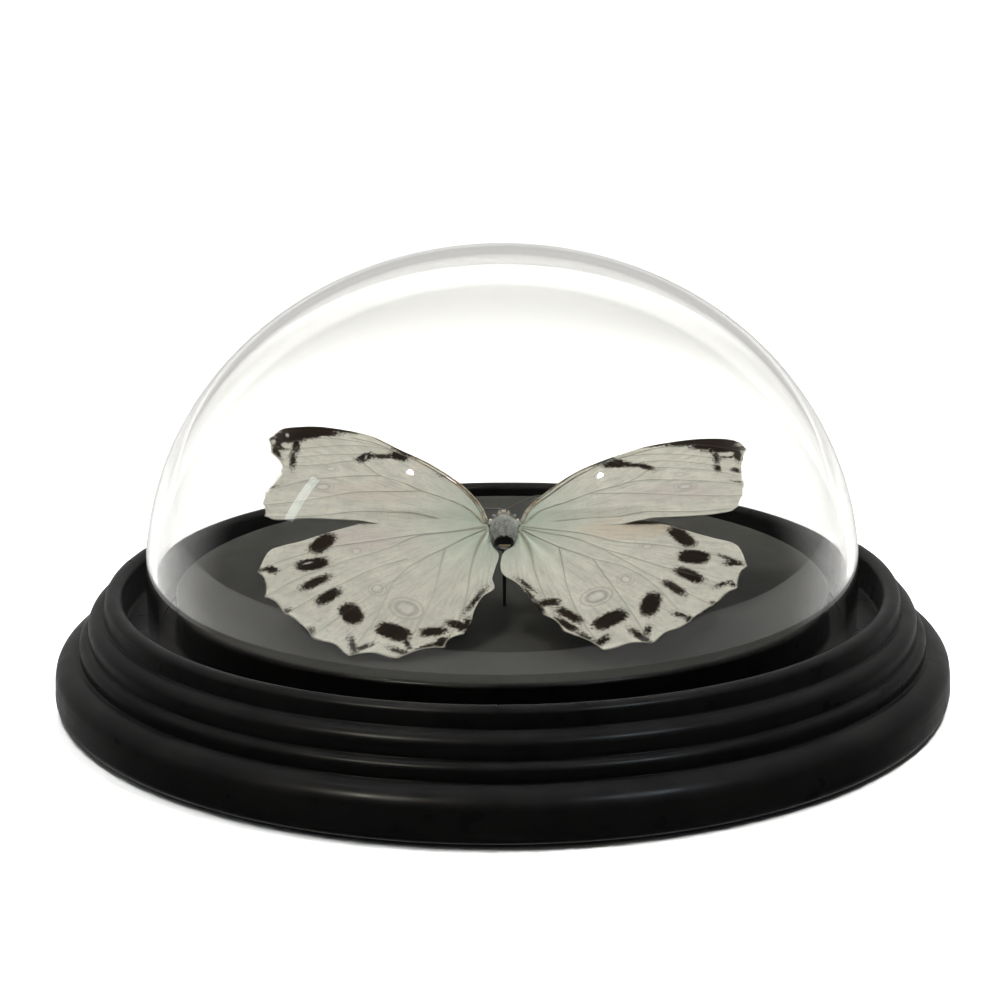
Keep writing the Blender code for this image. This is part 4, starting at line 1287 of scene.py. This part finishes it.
# %% Pin
PIN_RADIUS, PIN_FOOT, PIN_TOP = 0.45, 18.6, 45.6
points, faces = lathe(
    np.vstack([
        [(0.0, PIN_TOP)],
        arc((0.0, PIN_TOP - 0.9), (0.3, 0.9), 80, 10, 6),
        line((0.32, PIN_TOP - 1.0), (PIN_RADIUS, PIN_TOP - 5.0), 6),
        line((PIN_RADIUS, PIN_TOP - 5.0), (PIN_RADIUS, PIN_FOOT + 0.2), 24),
        arc((PIN_RADIUS - 0.2, PIN_FOOT + 0.2), (0.2, 0.2), 0, -90, 3),
        [(0.0, PIN_FOOT)],
    ]),
    28,
)
points += (BODY_PLACE[0], BODY_PLACE[1] - 1.4, 0.0)
steel, tree, shader = finish("drawn steel", Metallic=1.0)
place = place_in(tree)
lines = noise(tree, stretched(tree, place, (9000.0, 9000.0, 60.0)), 1.0, 3.0)
stain = ramp(tree, noise(tree, place, 300.0, 4.0), 0.5, 0.7)
coloured(tree, shader, blend(tree, stain, (0.060, 0.060, 0.064, 1), (0.020, 0.017, 0.015, 1)))
put(tree, ramp(tree, lines, 0.3, 0.7, 0.22, 0.42), shader.inputs["Roughness"])
raised(tree, shader, lines, 0.3, 0.00003)
pin = new_piece("pin_steel_wire", points, faces, [steel])
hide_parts("mounting_pin")

# %% [markdown]
# ## The room
# The object stands on a wide sheet of plain pale card, which ends a short way in front. Soft boxes
# hang over it and over the card behind it. Neither they nor the card are mirrored, and the room is dim
# except behind and overhead, because glass and black paint show whatever is bright around them. A
# round lamp makes the bright oval on the crown of the glass, and small lamps in front, warm on the
# left and cool on the right, draw the highlights along the mouldings.

# %% Floor
NEAR_EDGE, FAR_EDGE, HALF_WIDTH, WIDENING = -0.27, 6.5, 0.52, 0.5
card, tree, shader = finish("pale card", Roughness=0.95, Specular_IOR_Level=0.1)
place = place_in(tree)
pale = blend(tree, noise(tree, place, 60.0, 4.0), (0.65, 0.65, 0.64, 1), (0.67, 0.67, 0.66, 1))
coloured(tree, shader, pale)
mesh = bpy.data.meshes.new("floor_card")
across, ahead = np.meshgrid(np.linspace(-1, 1, 8), np.linspace(NEAR_EDGE, FAR_EDGE, 9))
across = across * (HALF_WIDTH + WIDENING * np.clip(ahead - 0.1, 0, None))
corners = np.stack([across, ahead, np.zeros_like(across)], -1).reshape(-1, 3)
mesh.from_pydata(corners.tolist(), [], grid_faces(9, 8)[:, ::-1].tolist())
mesh.materials.append(card)
floor = bpy.data.objects.new("floor_card", mesh)
floor.visible_glossy = False
bpy.context.scene.collection.objects.link(floor)
floor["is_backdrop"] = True

# %% [markdown]
# Light that passes straight through the dome is let through by leaving the dome out of shadows. The
# same light bent by the glass would then count twice, so paths bent after a matt surface are off.

# %% Light
room = bpy.data.worlds.new("room")
room.use_nodes = True
bpy.context.scene.world = room
sky = room.node_tree
level = add(sky, "ShaderNodeSeparateXYZ", {0: add(sky, "ShaderNodeTexCoord").outputs["Generated"]})
behind = ramp(sky, level.outputs["Y"], 0.12, 0.50, 0.0, 0.62)
above = ramp(sky, level.outputs["Z"], 0.86, 1.0, 0.0, 0.3)
put(sky, plus(sky, 0.025, plus(sky, behind, above)), sky.nodes["Background"].inputs["Strength"])
sky.nodes["Background"].inputs["Color"].default_value = (1.0, 0.99, 0.97, 1)
bpy.context.scene.view_settings.view_transform = "Standard"
bpy.context.scene.cycles.caustics_refractive = False


def lamp(name, azimuth, elevation, distance, size, power, colour=(1, 1, 1), tall=None, at=(0.0, -0.03, 0.06)):
    """A lamp on a sphere round a point, turned to face it; angles from +Y, clockwise from above."""
    light = bpy.data.lights.new(name, "AREA")
    light.shape = "RECTANGLE" if tall else "DISK"
    light.size = size
    if tall:
        light.size_y = tall
    light.energy = power
    light.color = colour
    made = bpy.data.objects.new(name, light)
    made.matrix_world = (
        Matrix.Translation(at)
        @ Matrix.Rotation(radians(-azimuth), 4, "Z")
        @ Matrix.Rotation(radians(elevation - 90), 4, "X")
        @ Matrix.Translation((0.0, 0.0, distance))
    )
    bpy.context.scene.collection.objects.link(made)
    return made


lamp("round lamp", -64, 71, 0.95, 0.19, 1.5)
for soft, spread in (
    (lamp("key box", -64, 71, 0.95, 0.30, 2.8, tall=0.30), 84),
    (lamp("fill box", 60, 66, 0.95, 0.30, 3.6, tall=0.30), 84),
    (lamp("rear box", 0, 90, 1.4, 1.3, 4.6, tall=1.3, at=(0.0, 1.1, 0.0)), 110),
    (lamp("far box", 0, 90, 2.2, 5.0, 290.0, tall=3.2, at=(0.0, 3.5, 0.0)), 180),
):
    soft.visible_glossy = False
    soft.visible_transmission = False
    soft.data.spread = radians(spread)
for glint in (
    lamp("warm lamp", -138, 50, 1.1, 0.022, 26.0, (1.0, 0.95, 0.80)),
    lamp("cool lamp", 136, 48, 1.1, 0.022, 16.0, (0.80, 0.91, 1.0)),
):
    glint.visible_diffuse = False
lamp("window", -86, 26, 1.2, 0.10, 0.5, (0.97, 1.0, 1.0), tall=0.14)
lamp("slit", -103, 28, 1.2, 0.035, 0.20, (0.86, 0.97, 1.0), tall=0.30)

# %% [markdown]
# Last, the finished object is measured against the box of the solids.

# %% Measure and finish
size = {"cad": [list(corner) for corner in cad_box], "visual": [list(corner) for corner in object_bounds()]}
for low_or_high in (0, 1):
    pair = zip(size["visual"][low_or_high], size["cad"][low_or_high])
    print("grew by, mm:", [round(abs(visual - cad) / MM, 2) for visual, cad in pair])
